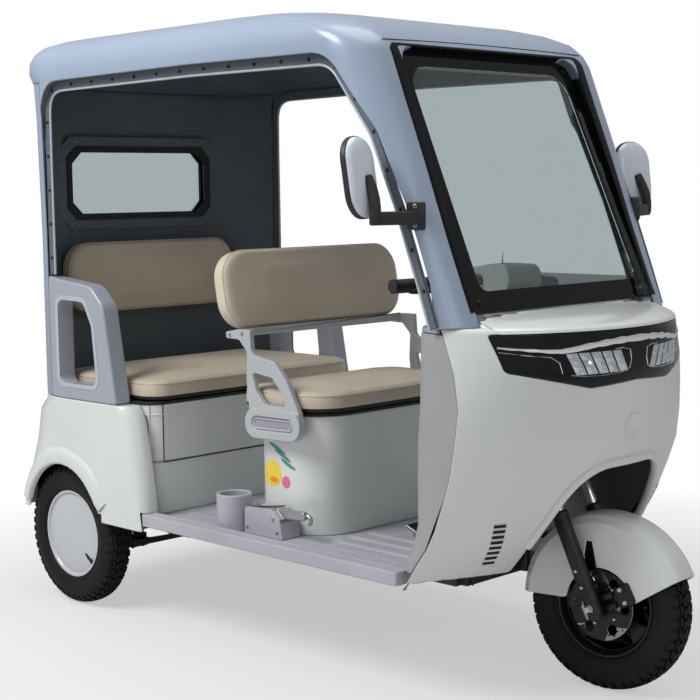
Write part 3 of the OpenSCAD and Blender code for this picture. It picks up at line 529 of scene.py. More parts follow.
def lathe(shape, outline, place, steps=48, finish=0):
    """A turned form: rows of (radius, height) spun about the place's own Z axis."""
    form = bmesh.new()
    chain = [form.verts.new((radius, 0, height)) for radius, height in outline]
    for pair in zip(chain, chain[1:]):
        form.edges.new(pair)
    bmesh.ops.spin(form, geom=form.verts[:] + form.edges[:], cent=(0, 0, 0), axis=(0, 0, 1), angle=math.tau,
                   steps=steps, use_merge=True)
    bmesh.ops.remove_doubles(form, verts=form.verts, dist=0.000001)
    bmesh.ops.recalc_face_normals(form, faces=form.faces)
    bmesh.ops.transform(form, matrix=place, verts=form.verts)
    for face in form.faces:
        face.material_index = finish
    turned = bpy.data.meshes.new("turned")
    form.to_mesh(turned)
    form.free()
    shape.from_mesh(turned)
    bpy.data.meshes.remove(turned)


slots = ((1500, -314, 437), (1448, -288, 326))
shape = bmesh.new()
dark = bmesh.new()
for side in (-1, 1):
    for k in range(8):
        share = (k + 0.5) / 8
        across = -(slots[0][1] * (1 - share) + slots[1][1] * share) * side
        up = slots[0][2] * (1 - share) + slots[1][2] * share
        spot, normal = laid(cowl_skin, at(2000, across, up), backward, 0.0004)
        if spot is None:
            continue
        right = Vector((0, 0, 1)).cross(normal).normalized()
        turn = Matrix((right, normal.cross(right), normal)).transposed().to_4x4()
        bmesh.ops.create_cube(dark, size=1, matrix=Matrix.Translation(spot) @ turn
                                    @ Matrix.Diagonal((0.030, 0.0085, 0.0014, 1)))
        bmesh.ops.create_cube(shape, size=1, matrix=Matrix.Translation(spot + Vector((0, 0, 0.0052)) + normal * 0.0012)
                                      @ turn @ Matrix.Rotation(0.5, 4, "X") @ Matrix.Diagonal((0.032, 0.0055, 0.0022, 1)))
# The dark slots under the louvres are painted shadow in the air inlets.
shown("cowl_inlet_slots", dark, [black_and_painted_shadow], slot="black_trim", smooth=False)
bmesh.ops.bevel(shape, geom=shape.edges[:], offset=0.0006, segments=1, affect="EDGES", profile=0.5, material=-1)
shown("cowl_inlet_louvres", shape, [white_gloss], slot="white_panel", crease=40)
shape = bmesh.new()
spot, normal = laid(cowl_skin, at(2000, 0, 634), backward)
turn = normal.to_track_quat("Z", "Y").to_matrix().to_4x4()
lathe(shape, [(0, 0.0022), (0.024, 0.0022), (0.0262, 0.0034), (0.031, 0.0034), (0.0325, 0), (0.0325, -0.003), (0, -0.003)],
      Matrix.Translation(spot) @ turn)
shown("cowl_blank_badge", shape, [white_gloss], slot="white_panel", crease=40)

# Headlamp unit: a smoked lens right across the nose, over black faceted bowls with bright reflectors
# and one thin chrome blade. It clips into the cowl's opening.
smoke = Finish("smoked_lens", tint(15, 16, 19), 0.05, specular_ior_level=0.3)
smoke.feed(Base_Color=smoke.mix(smoke.noise(9, 3), tint(11, 12, 14), tint(24, 26, 30)))
smoke.feed(Roughness=smoke.noise(20, 4, 0.7).held(0.5, 0.9) * 0.08 + 0.04)
chrome = Finish("chrome_trim", tint(228, 230, 234), 0.16, metallic=0.7)
chrome.feed(Roughness=chrome.noise(50, 4, 0.6).held(0.45, 0.9) * 0.14 + 0.1)
lamp = moulding("headlamp_lens", "headlamp", [smoke], 3)
lamp_skin = skin_of(lamp)


def ridge(shape, marks, lift):
    """A faceted strip laid on the lamp: rows of (across, up, half width), raised along its middle."""
    rows = []
    for i, (across, up, half) in enumerate(marks):
        before, after = marks[max(i - 1, 0)], marks[min(i + 1, len(marks) - 1)]
        way = Vector((after[0] - before[0], after[1] - before[1])).normalized()
        row = []
        for share, rise in ((-1, 0.0002), (-0.15, lift), (1, 0.0002)):
            spot, normal = laid(lamp_skin, at(2000, across - way.y * half * share, up + way.x * half * share), backward, rise)
            row.append(spot)
        rows.append(row)
    for a, b in zip(rows, rows[1:]):
        if any(p is None for p in a + b):
            continue
        for k in (0, 1):
            shape.faces.new([shape.verts.new(p) for p in (a[k], a[k + 1], b[k + 1], b[k])])


shape = bmesh.new()
half_blade = [(350, 838, 2.0), (330, 835, 2.6), (290, 830, 3.4), (250, 826, 4.2), (225, 825, 5.0), (195, 828, 6.0),
              (160, 833, 6.8), (110, 838, 7.4), (60, 841, 7.8), (0, 842, 8.0)]
blade = [(a, u, h) for a, u, h in half_blade] + [(-a, u, h) for a, u, h in reversed(half_blade[:-1])]
ridge(shape, blade, 0.0032)
for side in (-1, 1):
    ridge(shape, [(side * a, u, h) for a, u, h in ((349, 828, 0.9), (300, 819, 1.0), (250, 813, 1.0), (232, 800, 1.0),
                                                 (226, 776, 0.9))], 0.0014)
bmesh.ops.remove_doubles(shape, verts=shape.verts, dist=0.00002)
shown("headlamp_blade", shape, [chrome], slot="bare_metal", crease=30)
silver = Finish("reflector_silver", tint(206, 210, 216), 0.22, metallic=0.75)
silver.feed(Roughness=silver.noise(120, 3).held(0.3, 0.8) * 0.18 + 0.1)
shape = bmesh.new()
rng = random.Random(4)
for side in (-1, 1):
    for leaf in range(5):
        grid = []
        for j in range(7):
            row = []
            for i in range(4):
                across = side * (217 - 31 * leaf - 9 * i - 4 * j)
                rim = i in (0, 3) or j in (0, 6)
                spot, normal = laid(lamp_skin, at(2000, across, 819 - 8.2 * j), backward,
                                    0.0004 if rim else rng.uniform(0.0008, 0.0062))
                row.append(spot)
            grid.append(row)
        for j in range(6):
            for i in range(3):
                corners = (grid[j][i], grid[j][i + 1], grid[j + 1][i + 1], grid[j + 1][i])
                if all(corners):
                    a, b, c, d = [shape.verts.new(p) for p in corners]
                    for three in (((a, b, c), (a, c, d)) if (i + j + leaf) % 2 else ((a, b, d), (b, c, d))):
                        shape.faces.new(three)
    frame_line = [(side * a, u, 1.3) for a, u in ((84, 822), (58, 823), (34, 818), (30, 796), (36, 776), (60, 768),
                                                (110, 765), (170, 766), (206, 771))]
    ridge(shape, frame_line, 0.002)
shown("headlamp_reflectors", shape, [silver], slot="bare_metal", smooth=False)

# Leg shield and dash: textured mid-grey plastic behind the nose, clipped to the cowl's edges.
grey_moulded = Finish("grey_moulded_plastic", tint(152, 154, 156), 0.55)
grey_moulded.feed(Base_Color=grey_moulded.mix(grey_moulded.noise(6, 4), tint(145, 147, 149), tint(161, 163, 165)))
grey_moulded.feed(Roughness=grey_moulded.noise(50, 3).held(0.3, 0.8) * 0.15 + 0.48)
grey_moulded.bump(grey_moulded.noise(900, 1), 0.0002, 0.5)
moulding("leg_shield", "inner_liner", [grey_moulded], 3)
moulding("dash_top", "dashboard", [grey_moulded], 3)

# Rear body: two gloss fenders and a back panel with a raised band pressed round each wheel arch. They
# bolt to the frame rails and to each other, and the seat box drops in between them.
for side, word in ((-1, "right"), (1, "left")):
    # Each fender's inside faces, towards the wheel, take the near-black as painted shade in the arch.
    fender = moulding(f"fender_{word}", f"rear_fender_{word}", [white_gloss, black_and_painted_shadow], 4, crease=40,
                      inside=lambda c, n, s=side: n.y * s < -0.5 and abs(c.y) > 0.43)
    skin = skin_of(fender)
    edge = [(181, 250), (180.5, 264), (180.5, 272), (178.5, 284), (172, 297)]
    edge += [(-5 + 178 * math.cos(math.radians(a)), 235 + 178 * math.sin(math.radians(a))) for a in range(26, 171, 4)]
    shape = bmesh.new()
    rows = []
    for i, (x, z) in enumerate(edge):
        ahead, behind = edge[min(i + 1, len(edge) - 1)], edge[max(i - 1, 0)]
        way = Vector((ahead[0] - behind[0], ahead[1] - behind[1])).normalized()
        away = Vector((way.y, -way.x))
        row = []
        for reach, rise in ((-1.5, -9), (-0.5, 4.5), (3, 8), (10, 9.6), (24, 9.6), (36, 7.6), (45, 3.2), (49, 0.0)):
            spot, normal = laid(skin, at(x + away.x * max(reach, 1.5), side * 700, z + away.y * max(reach, 1.5)),
                                Vector((0, -side, 0)))
            row.append(spot and at((spot.x - axle_x) * 1000 + away.x * (reach - max(reach, 1.5)),
                                   spot.y * 1000 + side * (rise * min(1, 0.12 + i / 9) if rise > 0 else rise),
                                   spot.z * 1000 + away.y * (reach - max(reach, 1.5))))
        rows.append(row)
    for a, b in zip(rows, rows[1:]):
        if any(p is None for p in a + b) or max((p - q).length for p, q in zip(a, b)) > 0.05:
            continue
        for k in range(len(a) - 1):
            shape.faces.new([shape.verts.new(p) for p in (a[k], a[k + 1], b[k + 1], b[k])])
    bmesh.ops.remove_doubles(shape, verts=shape.verts, dist=0.00005)
    bmesh.ops.recalc_face_normals(shape, faces=shape.faces)
    shown(f"arch_band_{word}", shape, [white_gloss], slot="white_panel")
moulding("back_panel", "rear_panel", [white_gloss], 3)

# Tail lamps, and the black plate carrier between them, which holds a bare pale plate on two screws; the carrier is
# drawn all in black rubber, with no plate or screws of its own.
red_lens = Finish("red_lens", tint(168, 22, 24), 0.12, coat_weight=0.6)
ribs = red_lens.along("Z") * 900
red_lens.feed(Base_Color=red_lens.mix(red_lens.noise(60, 2), tint(150, 14, 18), tint(190, 36, 34)))
red_lens.bump(ribs.maths("SINE", ribs), 0.0008, 0.5)
moulding("tail_lamp_lenses", "tail_lamps", [red_lens], 2)
moulding("plate_carrier", "plate_holder", [rubber], 1.5)

# Rear seat box: a gloss moulded bin with a raised line along its front, a black joint above the
# skirt, and two pressed ridges up each side post. The black seal lies on its rim.
moulding("rear_bin", "rear_seat_box", [white_gloss], 3, crease=40)
shape = bmesh.new()
for level, tall, thick in ((578, 5, 1.2),):
    loop = round_loop([(262, -397.2, 4), (345.2, -397.2, 62), (345.2, 397.2, 62), (262, 397.2, 4)], 4, 12)
    ring = [p for p in loop if p.x > 282 and abs(p.y) < 397.0 or p.x > 290]
    rows = []
    for z, out in ((level - tall / 2, -0.3), (level - tall / 4, thick), (level + tall / 4, thick), (level + tall / 2, -0.3)):
        row = []
        for p in ring:
            away = Vector((max(p.x - 283, 0), p.y - math.copysign(min(abs(p.y), 335), p.y))).normalized()
            row.append(shape.verts.new(at(p.x + away.x * out, p.y + away.y * out, z)))
        rows.append(row)
    for a, b in zip(rows, rows[1:]):
        for i in range(len(a) - 1):
            shape.faces.new((a[i], a[i + 1], b[i + 1], b[i]))
bmesh.ops.recalc_face_normals(shape, faces=shape.faces)
shown("rear_bin_lines", shape, [white_gloss], slot="white_panel")
seams = [[at(345.2 if abs(y) < 335 else 283 + math.sqrt(62.2 ** 2 - (abs(y) - 335) ** 2), y, 446) for y in range(-352, 353, 4)]]
for side in (-1, 1):
    seams.append([at(342.8, side * 352, z) for z in (446, 520, 604)])
rods("rear_bin_seams", seams, 0.0017, [black_and_painted_shadow], slot="black_trim", steps=3)
posts = []
for side in (-1, 1):
    for turn in (52, 74):
        c, d = math.cos(math.radians(turn)), math.sin(math.radians(turn))
        posts.append([at(283 + 62 * c, side * (335 + 62 * d), z) for z in (314, 603)])
rods("rear_post_ridges", posts, 0.0042, [white_gloss], slot="white_panel", steps=4)
moulding("seat_rim_seals", "seat_seals", [rubber], 1.5)

# Driver's seat box: one tapered gloss moulding screwed to the floor, open on top over the battery.
moulding("driver_bin", "driver_seat_box", [white_gloss], 4, crease=40)
battery_case = Finish("battery_case", tint(38, 42, 46), 0.5)
battery_case.feed(Base_Color=battery_case.mix(battery_case.noise(12, 3), tint(32, 36, 40), tint(48, 52, 56)))
battery_case.bump(battery_case.noise(600, 2), 0.0002, 0.5)
dress("battery_pack", battery_case)

# Seats: moulded foam under beige synthetic leather, sewn with a welt round the top panel. The cushions
# lie on their boxes and lift; the backrests are fixed, and have a paler side band behind the welt.
leather = Finish("beige_leather", tint(204, 191, 172), 0.5, sheen_weight=0.15, sheen_roughness=0.5)
cells = leather.node("ShaderNodeTexVoronoi", {"feature": "DISTANCE_TO_EDGE"}, {"Vector": leather.place, "Scale": 420})("Distance")
patch = leather.noise(3.5, 4, 0.55).held(0.32, 0.7)
leather.feed(Base_Color=leather.mix(patch, tint(208, 195, 176), tint(195, 181, 161)))
leather.feed(Roughness=leather.noise(22, 4).held(0.3, 0.75) * 0.16 + 0.42)
leather.bump(cells.held(0.0, 0.25) + leather.noise(30, 4) * 0.8, 0.0004, 0.6)
side_leather = Finish("pale_side_leather", tint(206, 190, 166), 0.5, sheen_weight=0.15)
grain = side_leather.node("ShaderNodeTexVoronoi", {"feature": "DISTANCE_TO_EDGE"}, {"Vector": side_leather.place, "Scale": 420})("Distance")
side_leather.feed(Base_Color=side_leather.mix(side_leather.noise(5, 3), tint(218, 205, 186), tint(204, 190, 168)))
side_leather.bump(grain.held(0.0, 0.25), 0.0004, 0.5)


def seat_pad(name, node, rows, place, body, thick, crown=10, welt=0.8):
    """A seat pad built as a rounded outline stood up in rings: a flat foot, a slight belly, a sewn
    welt near the top, and a crowned top that dips back to the middle."""
    loop = round_loop(rows, 60, 10)
    middle = Vector((sum(p.x for p in loop), sum(p.y for p in loop))) / len(loop)
    shape = bmesh.new()
    section = [(0.0, 7), (3.0, 2.5), (thick * 0.22, 0.5), (thick * 0.5, 0.0), (thick * 0.7, 1.2), (thick * 0.8, 3.2),
               (thick * 0.88, 8), (thick * 0.95, 16), (thick * 0.985, 28), (thick, 48), (thick + crown * 0.3, 84),
               (thick + crown * 0.55, 124)]
    rings = []
    for z, tuck in section:
        ring = []
        for p in loop:
            reach = p - middle
            share = max(1 - tuck / max(reach.length, 1), 0.1)
            ring.append(shape.verts.new(place(middle.x + reach.x * share, middle.y + reach.y * share, z)))
        rings.append(ring)
    for a, b in zip(rings, rings[1:]):
        for i in range(len(a)):
            shape.faces.new((a[i - 1], a[i], b[i], b[i - 1]))
    shape.faces.new(reversed(rings[0]))
    crown_face = shape.faces.new(rings[-1])
    bmesh.ops.inset_region(shape, faces=[crown_face], thickness=0.05, use_even_offset=True)
    bmesh.ops.translate(shape, verts=crown_face.verts, vec=place(0, 0, crown * 0.25) - place(0, 0, 0))
    bmesh.ops.poke(shape, faces=[crown_face])
    bmesh.ops.recalc_face_normals(shape, faces=shape.faces)
    return shape, loop, middle, section


def welt_line(name, loop, middle, tuck, place, z, body, radius=2.6, finish=None):
    """The sewn welt: a thin covered cord that follows the pad's outline."""
    points = []
    for p in loop:
        reach = p - middle
        share = 1 - tuck / reach.length
        points.append(place(middle.x + reach.x * share, middle.y + reach.y * share, z))
    return tube(name, points, radius / 1000, [finish or leather], body=body, slot="seat_leather", closed=True, steps=3)


def cushion(name, node, rows, base, thick, crown, body):
    place = lambda x, y, z: at(x, y, base + z)
    shape, loop, middle, section = seat_pad(name, node, rows, place, body, thick, crown)
    for face in shape.faces:
        if face.calc_center_median().z < place(0, 0, 11).z:
            face.material_index = 1
    piece = shown(name, shape, [leather, rubber], body=body, slot="seat_leather")
    soft = piece.modifiers.new("soft", "SUBSURF")
    soft.levels = soft.render_levels = 1
    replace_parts(piece, node)
    seam = welt_line(f"{name}_welt", loop, middle, 4.2, place, thick * 0.8, body)
    return piece, seam


cushion("driver_seat_pad", "driver_cushion", [(602, -299, 50), (917, -299, 104), (917, 299, 104), (602, 299, 50)],
        620.4, 56, 13, "driver_lid")
cushion("rear_seat_pad", "rear_cushion", [(-107, -389, 26), (350, -389, 62), (350, 389, 62), (-107, 389, 26)],
        614.4, 60, 15, "rear_lid")


def backrest(name, node, half, tall, place, body="body"):
    """An upright pad: a rounded slab, fuller at the middle, with a welt between its front and sides."""
    rows = [(-half, 2, 76), (half, 2, 76), (half, tall - 2, 76), (-half, tall - 2, 76)]
    shape, loop, middle, section = seat_pad(name, node, rows, place, body, 54, 11)
    for face in shape.faces:
        if (face.calc_center_median() - place(0, tall / 2, 36)).dot(place(0, 0, 1) - place(0, 0, 0)) < 0:
            face.material_index = 1
    piece = shown(name, shape, [leather, side_leather], body=body, slot="seat_leather")
    soft = piece.modifiers.new("soft", "SUBSURF")
    soft.levels = soft.render_levels = 1
    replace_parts(piece, node)
    welt_line(f"{name}_welt", loop, middle, 2.6, place, 54 * 0.72, body)
    return piece


tip = math.radians(10)
backrest("driver_back_pad", "driver_backrest", 333, 212,
         lambda y, up, out: at(634 + (out - 65) * math.cos(tip) - up * math.sin(tip), y,
                               829 + (out - 65) * math.sin(tip) + up * math.cos(tip)))
backrest("rear_back_pad", "rear_backrest", 319, 212, lambda y, up, out: at(-108 + out - 65, y, 830 + up))
# Floor pan: one lavender-grey moulded tray screwed to the frame, with a flat sill along each door, raised
# ribs where the feet rest and a fine pimpled grain all over.
floor_grey = Finish("floor_lavender_grey", tint(172, 173, 181), 0.58)
floor_grey.feed(Base_Color=floor_grey.mix(floor_grey.noise(4, 4).held(0.3, 0.7), tint(165, 166, 174), tint(180, 181, 189)))
scuffs = floor_grey.noise(26, 5, 0.65, (1, 3, 1)).held(0.55, 0.8)
floor_grey.feed(Roughness=scuffs * 0.2 + 0.5)
pimples = floor_grey.node("ShaderNodeTexVoronoi", {}, {"Vector": floor_grey.place, "Scale": 340})("Distance")
floor_grey.bump(1 - pimples.held(0.1, 0.5), 0.0004, 0.5)
moulding("floor_tray", "floor_pan", [floor_grey], 3.5)


def bars(shape, boxes, edge, turn=None, segments=2):
    """Bars with rounded edges, each from two corners in millimetres, or in a place of their own."""
    form = bmesh.new()
    for x0, x1, y0, y1, z0, z1 in boxes:
        middle = Vector((x0 + x1, y0 + y1, z0 + z1)) / 2000
        place = turn @ Matrix.Translation(middle) if turn else Matrix.Translation(middle + at(0, 0, 0))
        size = Matrix.Diagonal(((x1 - x0) / 1000, (y1 - y0) / 1000, (z1 - z0) / 1000, 1))
        bmesh.ops.create_cube(form, size=1, matrix=place @ size)
    bmesh.ops.bevel(form, geom=form.edges[:], offset=edge / 1000, segments=segments, affect="EDGES", profile=0.5,
                    material=-1)
    made = bpy.data.meshes.new("bars")
    form.to_mesh(made)
    form.free()
    shape.from_mesh(made)
    bpy.data.meshes.remove(made)


shape = bmesh.new()
bars(shape, [(384, 622, y - 8, y + 8, 300, 304) for y in range(-300, 301, 60)], 1.4)
bars(shape, [(952, 1296, y - 4, y + 4, 300, 303.5) for y in (-330, 0, 330)], 1.2)
for side in (-1, 1):
    bars(shape, [(268, 1318, side * 412 - 3, side * 412 + 3, 314, 316.6)], 1.0)
shown("floor_ribs", shape, [floor_grey], slot="floor_plastic", crease=40)

# Small things on the floor: a moulded cup ring, the parking brake's case with its pressed lever, and
# the foot brake's pedal with a ribbed rubber pad.
moulding("cup_ring", "cup_holder", [floor_grey], 4)
pressed_steel = Finish("pressed_steel", tint(172, 173, 178), 0.34, metallic=0.85)
pressed_steel.feed(Roughness=pressed_steel.noise(70, 4, 0.6, (1, 8, 1)).held(0.3, 0.8) * 0.25 + 0.24)
pressed_steel.bump(pressed_steel.noise(500, 2), 0.0002, 0.3)


def is_lever(middle, normal):
    off = middle - at(0, -339, 0)
    slot_end = abs(normal.x) > 0.97 and off.x < 0.8
    return abs(off.y) < 0.0086 and off.z > 0.339 and not slot_end


moulding("brake_lever_case", "parking_brake", [floor_grey, pressed_steel], 3, crease=35,
         inside=is_lever)
hook = [at(894, -339, 369), at(906, -339, 371), at(915, -339, 366), at(917, -339, 357), at(911, -339, 350)]
tube("brake_lever_hook", smooth_path(hook, 5), 0.0052, [pressed_steel], slot="bare_metal")
shape = bmesh.new()
across = Vector((0, -1, 0))
studs(shape, [at(800, -365, 352)], across, 0.008, 0.004, 20)
studs(shape, [at(704, -365, 318), at(818, -365, 318)], across, 0.005, 0.003, 12)
shown("brake_lever_rivets", shape, [steel], slot="bare_metal", crease=40)
moulding("foot_brake", "brake_pedal", [pressed_steel], 1.5)
pedal = Matrix.Translation(at(1060, -100, 301)) @ Matrix.Rotation(math.radians(20), 4, "Y")
shape = bmesh.new()
bars(shape, [(-21, 21, -29, 29, 27.6, 30)], 1.0, pedal)
bars(shape, [(x - 2, x + 2, -26, 26, 29.4, 32.4) for x in range(-16, 17, 8)], 0.8, pedal)
shown("foot_brake_pad", shape, [rubber], slot="grip_rubber", crease=40)

# Seat arms: two light grey moulded plates on a steel core, each with an oval pod screwed to the seat
# box. A crossbar between them carries the driver's backrest.
arm_grey = gloss_panel("arm_light_grey", tint(178, 181, 185), tint(166, 170, 175), 0.4, 0.3)
inset_grey = Finish("pod_inset_grey", tint(152, 150, 163), 0.55)
inset_grey.feed(Base_Color=inset_grey.mix(inset_grey.noise(9, 3), tint(146, 144, 157), tint(160, 158, 171)))
inset_grey.bump(inset_grey.noise(700, 1), 0.0002, 0.4)
moulding("seat_arms", "driver_seat_frame", [arm_grey, inset_grey], 3, crease=40,
         inside=lambda c, n: abs(abs(c.y) - 0.326) < 0.0009 and abs(n.y) > 0.9)
for side, word in ((-1, "right"), (1, "left")):
    shape = bmesh.new()
    outward = Vector((0, side, 0))
    studs(shape, [at(648, side * 323.4, 816), at(600, side * 323.4, 811)], outward, 0.005, 0.003, 16)
    shown(f"seat_arm_screws_{word}", shape, [steel], slot="bare_metal", crease=40)
    loop = round_loop([(694, 574), (840, 578), (840, 602), (694, 600)], 11.5, 8)
    tube(f"pod_ring_{word}", [at(p.x, side * 326.4, p.y) for p in loop], 0.0024, [arm_grey], slot="seat_frame", closed=True)

# Decal: a printed vinyl sticker on the driver's box, right side: a plain sun, a bubble and three waves.
box_skin = skin_of(nodes["driver_seat_box"])
stickers = (("decal_yellow", tint(240, 214, 60), [(722, 452, 34, 34, 0)]),
            ("decal_orange", tint(236, 140, 50), [(728, 436, 15, 8, 0)]),
            ("decal_pink", tint(226, 110, 150), [(774, 434, 16, 16, 0)]),
            ("decal_teal", tint(70, 150, 145), [(742, 520, 34, 5, -24), (764, 502, 34, 5, -24), (782, 482, 30, 5, -24)]))
for name, colour, ovals in stickers:
    vinyl = Finish(name, colour, 0.35)
    vinyl.feed(Roughness=vinyl.noise(40, 3).held(0.3, 0.8) * 0.12 + 0.3)
    shape = bmesh.new()
    for x, z, wide, tall, turn in ovals:
        c, d = math.cos(math.radians(turn)), math.sin(math.radians(turn))
        rings = []
        for share in (1, 0.75, 0.5, 0.25, 0.02):
            ring = []
            for k in range(36):
                u, v = share * wide * math.cos(k * math.tau / 36), share * tall * math.sin(k * math.tau / 36)
                spot, normal = laid(box_skin, at(x + u * c - v * d, -900, z + u * d + v * c), Vector((0, 1, 0)),
                                    0.0006 if name != "decal_orange" else 0.0011)
                ring.append(shape.verts.new(spot))
            rings.append(ring)
        for outer, inner in zip(rings, rings[1:]):
            for k in range(36):
                shape.faces.new((outer[k - 1], outer[k], inner[k], inner[k - 1]))
    bmesh.ops.recalc_face_normals(shape, faces=shape.faces)
    shown(name, shape, [vinyl], slot="white_panel")
# Chassis: welded square tube in black powder coat, two rails with cross tubes, a kick-up over the axle
# with posts under the seat bin, and a down tube to the steering head. Screws hold the floor pan on.
frame_black = Finish("frame_black_powder", tint(27, 28, 31), 0.46)
frame_black.feed(Base_Color=frame_black.mix(frame_black.noise(7, 4).held(0.4, 0.75), tint(25, 26, 29), tint(46, 44, 42)))
frame_black.feed(Roughness=frame_black.noise(40, 4).held(0.3, 0.8) * 0.2 + 0.38)
frame_black.bump(frame_black.noise(520, 2), 0.0003, 0.4)
moulding("frame_rails", "chassis_frame", [frame_black], 3, crease=40)
welds = []
for side in (-1, 1):
    y = side * 200.6
    for x in (240, 620, 960, 1290):
        welds += [[at(x - 1, y, 281.6), at(x - 1, y, 241)], [at(x + 41, y, 281.6), at(x + 41, y, 241)]]
    for x in (-180, 130):
        welds += [[at(x - 1, y, 371), at(x - 1, y, 330)], [at(x + 41, y, 371), at(x + 41, y, 330)]]
rods("frame_welds", welds, 0.0026, [frame_black], slot="frame_paint", steps=3)
shape = bmesh.new()
down = Vector((0, 0, -1))
studs(shape, [at(x, side * 220, 240.4) for side in (-1, 1) for x in (330, 520, 740, 880, 1080, 1230)], down,
      0.008, 0.005, 6)
studs(shape, [at(x, side * 236.6, 262) for side in (-1, 1) for x in (299,)], Vector((0, 1, 0)), 0.009, 0.004, 6)
shown("frame_bolts", shape, [steel], slot="bare_metal", crease=30)

# Rear axle: a cast housing with tubes out to the brake drums, driven by a round motor bolted to its
# front. Leaf springs carry the frame on it, held by U-bolts.
cast_iron = Finish("cast_axle_iron", tint(62, 63, 65), 0.6, metallic=0.35)
cast_iron.feed(Base_Color=cast_iron.mix(cast_iron.noise(14, 5, 0.6).held(0.35, 0.75), tint(52, 53, 55), tint(84, 80, 74)))
cast_iron.bump(cast_iron.noise(320, 3), 0.0006, 0.6)
motor_grey = Finish("motor_aluminium", tint(128, 131, 135), 0.42, metallic=0.75)
motor_grey.feed(Roughness=motor_grey.noise(90, 4).held(0.3, 0.8) * 0.25 + 0.3)
motor_grey.bump(motor_grey.noise(420, 2), 0.0003, 0.5)
moulding("axle_housing", "rear_axle", [cast_iron, motor_grey], 2.5, crease=35,
         inside=lambda c, n: c.x > at(74, 0, 0).x)
shape = bmesh.new()
along = Matrix.Translation(at(0, 14, 205)) @ Matrix.Rotation(math.pi / 2, 4, "Y")
for ring in range(9):
    start = 0.092 + ring * 0.0125
    lathe(shape, [(0.058, start), (0.0655, start), (0.0655, start + 0.004), (0.058, start + 0.004), (0.058, start)], along, 64)
shown("motor_fins", shape, [motor_grey], slot="axle_iron", crease=35)
shape = bmesh.new()
for k in range(6):
    angle = math.tau * k / 6
    studs(shape, [at(225.6, 14 + 50 * math.cos(angle), 205 + 50 * math.sin(angle))], Vector((1, 0, 0)), 0.0045, 0.004, 6)
for k in range(8):
    angle = math.tau * k / 8
    for y, way in ((-60.6, -1), (90.6, 1)):
        studs(shape, [at(63 * math.cos(angle), y, 205 + 63 * math.sin(angle))], Vector((0, way, 0)), 0.005, 0.004, 6)
shown("axle_bolts", shape, [steel], slot="bare_metal", crease=30)
moulding("spring_packs", "leaf_springs", [frame_black], 1.5, crease=40)
leaves = [(-150, 214), (-60, 158), (60, 158), (272, 214)]
lines = []
for side in (-1, 1):
    for edge in (-25.3, 25.3):
        for drop in (0, -5):
            lines.append(smooth_path([at(x, side * 220 + edge, z + drop) for x, z in leaves], 6))
rods("spring_leaf_lines", lines, 0.0009, [cast_iron], slot="axle_iron", steps=2)
hoops = []
for side in (-1, 1):
    for y in (-19, 19):
        arc = [at(34 * math.cos(math.radians(a)), side * 220 + y, 205 + 34 * math.sin(math.radians(a)))
               for a in range(0, 181, 15)]
        hoops.append([at(34, side * 220 + y, 139)] + arc + [at(-34, side * 220 + y, 139)])
rods("spring_hoops", hoops, 0.004, [steel], slot="bare_metal", steps=4)
shape = bmesh.new()
for side in (-1, 1):
    bars(shape, [(-46, 46, side * 220 - 30, side * 220 + 30, 137, 143)], 1.2)
    studs(shape, [at(x, side * 220 + y, 136) for x in (-34, 34) for y in (-19, 19)], down, 0.008, 0.006, 6)
shown("spring_plates", shape, [frame_black], slot="frame_paint", crease=30)
# Front fork: black cast lower legs, bright stanchions and a forged bridge, on a stem that turns in the
# steering head. The wheel's axle is clamped at the foot by two nuts.
parked = math.radians(6)
rake = math.radians(25)
steered = (Matrix.Translation(at(1557.811, 0, 192.321)) @ Matrix.Rotation(-rake, 4, "Y")
           @ Matrix.Translation((0, 0, 0.000163)) @ Matrix.Rotation(parked, 4, "Z"))
from_car = steered @ Matrix.Rotation(rake, 4, "Y")


def turned(x, y, z):
    """Where a point of the straight vehicle is once the steering stands at its parked turn."""
    return from_car @ Vector(((x - 1557.811) / 1000, y / 1000, (z - 192.321) / 1000))


def is_stanchion(middle, normal):
    here = steered.inverted() @ middle
    return 0.2265 < here.z < 0.3255 and math.hypot(here.x - 0.03, abs(here.y) - 0.078) < 0.0145


moulding("fork_legs", "fork", [frame_black, chrome], 2, crease=35, body="steering",
         inside=is_stanchion)
shape = bmesh.new()
for side in (-1, 1):
    leg = steered @ Matrix.Translation((0.03, side * 0.078, 0))
    lathe(shape, [(0.0132, 0.223), (0.0198, 0.223), (0.0205, 0.225), (0.0205, 0.234), (0.0186, 0.237), (0.0132, 0.238),
                  (0.0132, 0.223)], leg, 40)
    lathe(shape, [(0, -0.026), (0.017, -0.026), (0.0196, -0.022), (0.0196, -0.016), (0, -0.016), (0, -0.026)], leg, 40)
    for level in (0.034, 0.205):
        lathe(shape, [(0.0185, level), (0.0206, level + 0.001), (0.0206, level + 0.006), (0.0185, level + 0.007),
                      (0.0185, level)], leg, 40)
shown("fork_collars", shape, [frame_black], body="steering", slot="frame_paint", crease=35)
shape = bmesh.new()
for side in (-1, 1):
    outward = (steered.to_3x3() @ Vector((0, side, 0))).normalized()
    studs(shape, [steered @ Vector((0.03, side * 0.1045, 0))], outward, 0.012, 0.01, 6)
    studs(shape, [steered @ Vector((0.03, side * 0.097, 0.052)), steered @ Vector((0.03, side * 0.097, 0.092))], outward,
          0.006, 0.006, 6)
    studs(shape, [steered @ Vector((0.046, side * 0.078, 0.339))], steered.to_3x3() @ Vector((1, 0, 0)), 0.006, 0.006, 6)
shown("fork_nuts", shape, [steel], body="steering", slot="bare_metal", crease=30)

# Handlebar: a bent steel bar in a clamped stem, with ribbed rubber grips and two hand levers. A pale
# moulded cover hides the stem's top, and carries a small blank display for the driver.
moulding("bar_and_stem", "handlebar", [frame_black], 1.5, crease=40, body="steering")


